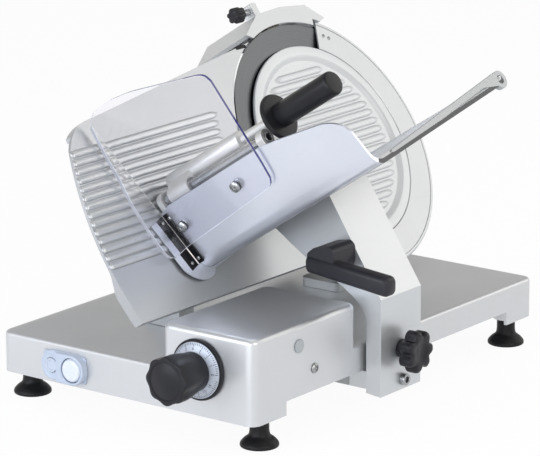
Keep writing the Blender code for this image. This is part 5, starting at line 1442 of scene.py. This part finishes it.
block_x = GRIP_LEFT + 0.036
block_line = [
    (GRIP_LEFT + 0.001, 0.1335), (block_x - 0.006, 0.1277), (block_x, 0.1377), (block_x, 0.1555),
    (block_x - 0.006, 0.1605), (GRIP_LEFT + 0.010, 0.1565), (GRIP_LEFT + 0.001, 0.1490),
]
block_shape = stack([
    [(x, y, z) for x, z in eased(block_line, 0.003, 4, True)]
    for y in (GRIP_Y - 0.0075, ARM_FRONT - 0.0003)
])
carve(handle, block_shape, at_base, "UNION", 40.0)
soften(handle, 0.0009, 3, 42.0)

# Blade support and motor, seen from behind: a cast dish with a bearing boss on a leaning web with a
# foot, and a ribbed motor housing painted grey, bolted to its back.
# Rough casting: greyer and duller than the sanded ones.
support_finish = sanded_aluminium("rough_cast_aluminium_support", "#A9ACAE", 0.50, 0.72, 1.2, 0.20)
BEARING_HOLE = 0.0200
BEARING_BOSS = 0.0270
BOSS_BACK = -0.074
DISH_BACK = -0.048
DISH_FLOOR = -0.038
DISH_RIM = -0.0183
DISH_OUT = 0.112
DISH_IN = 0.105
support_line = [
    (BEARING_HOLE, BOSS_BACK), (BEARING_BOSS - 0.0008, BOSS_BACK), (BEARING_BOSS, BOSS_BACK + 0.0008),
    (BEARING_BOSS, DISH_BACK), (DISH_OUT - 0.001, DISH_BACK), (DISH_OUT, DISH_BACK + 0.001),
    (DISH_OUT, DISH_RIM), (DISH_IN, DISH_RIM), (DISH_IN, DISH_FLOOR), (BEARING_BOSS, DISH_FLOOR),
    (BEARING_BOSS, -0.0339), (BEARING_HOLE, -0.0339),
]
support = piece(
    "blade_support_casting", ring_turned(support_line, 96), support_finish, "base", head,
    ("blade_support",), 30.0,
)
DECK = PAN_TOP + 0.0003
MOTOR_AXIS = (-0.045, -0.064, 0)
WEB_BACK = -0.0476
WEB_MID = -0.043
WEB_FRONT = -0.0384
web_rings = []
for half, top_q, low_z in ((0.060, None, DECK + 0.004), (0.070, -0.080, None)):
    ring = []
    for p, n in ((-half, WEB_BACK), (half, WEB_BACK), (half, WEB_FRONT), (-half, WEB_FRONT)):
        q = top_q
        if q is None:
            q = (base_corner.z + low_z - blade_mid.z - n * cut_normal.z) / cut_up.z
        ring.append((p, q, n))
    web_rings.append(ring)
carve(support, stack(web_rings), head, "UNION", 30.0)
web_q = (base_corner.z + DECK - blade_mid.z - WEB_MID * cut_normal.z) / cut_up.z
web_x = (blade_mid + cut_up * web_q + cut_normal * WEB_MID).x - base_corner.x
blade_y = blade_mid.y - base_corner.y
support_foot = round_box(web_x - 0.045, web_x + 0.012, blade_y - 0.072, blade_y + 0.066, 0.010)
carve(support, slab(support_foot, DECK, DECK + 0.010), at_base, "UNION", 30.0)
motor_place = head @ Matrix.Translation(MOTOR_AXIS)
carve(support, disc(0.009, -0.06, -0.02), motor_place, "DIFFERENCE", 30.0)
soften(support, 0.0015, 3, 40.0)
# Stove enamel: mid grey, smooth, with soft highlights along the ribs.
motor_grey = grained_skin("stove_enamelled_motor_grey", "#5C6064", 0.42, 1.2, 0.10)
MOTOR = 0.042
FIN_ROOT = 0.0385
FIN_TOP = -0.0563
FIN = 0.0062
FINS = 7
motor_line = [
    (0, -0.0576), (0.0053, -0.0576), (0.0053, -0.0483), (0.0413, -0.0483), (MOTOR, -0.0490),
    (MOTOR, FIN_TOP),
]
for i in range(FINS):
    z = FIN_TOP - FIN * i
    motor_line += [
        (MOTOR, z), (FIN_ROOT, z - 0.0008), (FIN_ROOT, z - FIN + 0.0026), (MOTOR, z - FIN + 0.0018),
    ]
motor_line += [(MOTOR, -0.104), (0.040, -0.109), (0.034, -0.1135), (0.020, -0.1143), (0, -0.1143)]
piece("motor_housing", turned(motor_line, 72), motor_grey, "base", motor_place, ("motor_body",))
back_knob_levels = [
    (-0.0903, 0.0195, 0.0020), (-0.0896, 0.0218, 0.0032), (-0.0880, 0.0236, 0.0040),
    (-0.0776, 0.0240, 0.0040), (-0.0752, 0.0236, 0.0020), (-0.0743, 0.0230, 0.0006),
]
tie_grip = piece(
    "cover_tie_grip", lobed_knob(back_knob_levels, 6), knob_black, "tie_knob", head, ("tie_knob",), 40.0,
)
carve(tie_grip, disc(0.0033, -0.0855, -0.06, 24), head, "DIFFERENCE", 40.0)

# Inner and hidden pieces keep their solid shape: each gets the finish of its real material and an eased
# edge, as turned, cast and ground pieces have.
# Bonded abrasive: rough, sandy and dull, its grains drawn wide enough to show.
GRAIN_MM = 0.5
grit, grit_tree, grit_shader, grit_where = new_finish("bonded_abrasive_stone")
voronoi = add_node(grit_tree, "TexVoronoi", {"Vector": grit_where, "Scale": 1000.0 / GRAIN_MM})
grains = voronoi.outputs["Distance"]
feed(grit_shader, {
    "Roughness": 0.9,
    "Base Color": blend(grit_tree, grains, linear("#8C8378"), linear("#B9AFA2")),
    "Normal": relief(grit_tree, grains, 0.3, 0.0002),
})
hidden_pieces = (
    (
        (
            "slide_shaft", "dial_shaft", "blade_shaft", "bearing_front", "bearing_rear", "cover_tie_rod",
            "motor_shaft", "motor_pulley",
        ),
        stainless, 0.0003,
    ),
    (("gauge_stem", "guide_rail", "gauge_cam", "carriage_roller"), stainless, 0.0004),
    (("bottom_cover", "slice_deflector"), tray_finish, 0.0004),
    (("rod_bracket_near", "rod_bracket_far"), arm_grey, 0.0006),
    (
        ("gauge_guide", "blade_pulley", "sharpener_post", "sharpener_body", "slide_block"),
        support_finish, 0.0010,
    ),
    (("drive_belt",), rubber, 0.0003),
    (("stone_grinding", "stone_deburring"), grit, 0.0004),
)
for names, finish, edge in hidden_pieces:
    for name in names:
        node = frame["nodes"][name]
        node.data.materials.clear()
        node.data.materials.append(finish)
        weld = node.modifiers.new("weld", "WELD")
        weld.merge_threshold = 0.00001
        soften(node, edge, 2, 40.0)
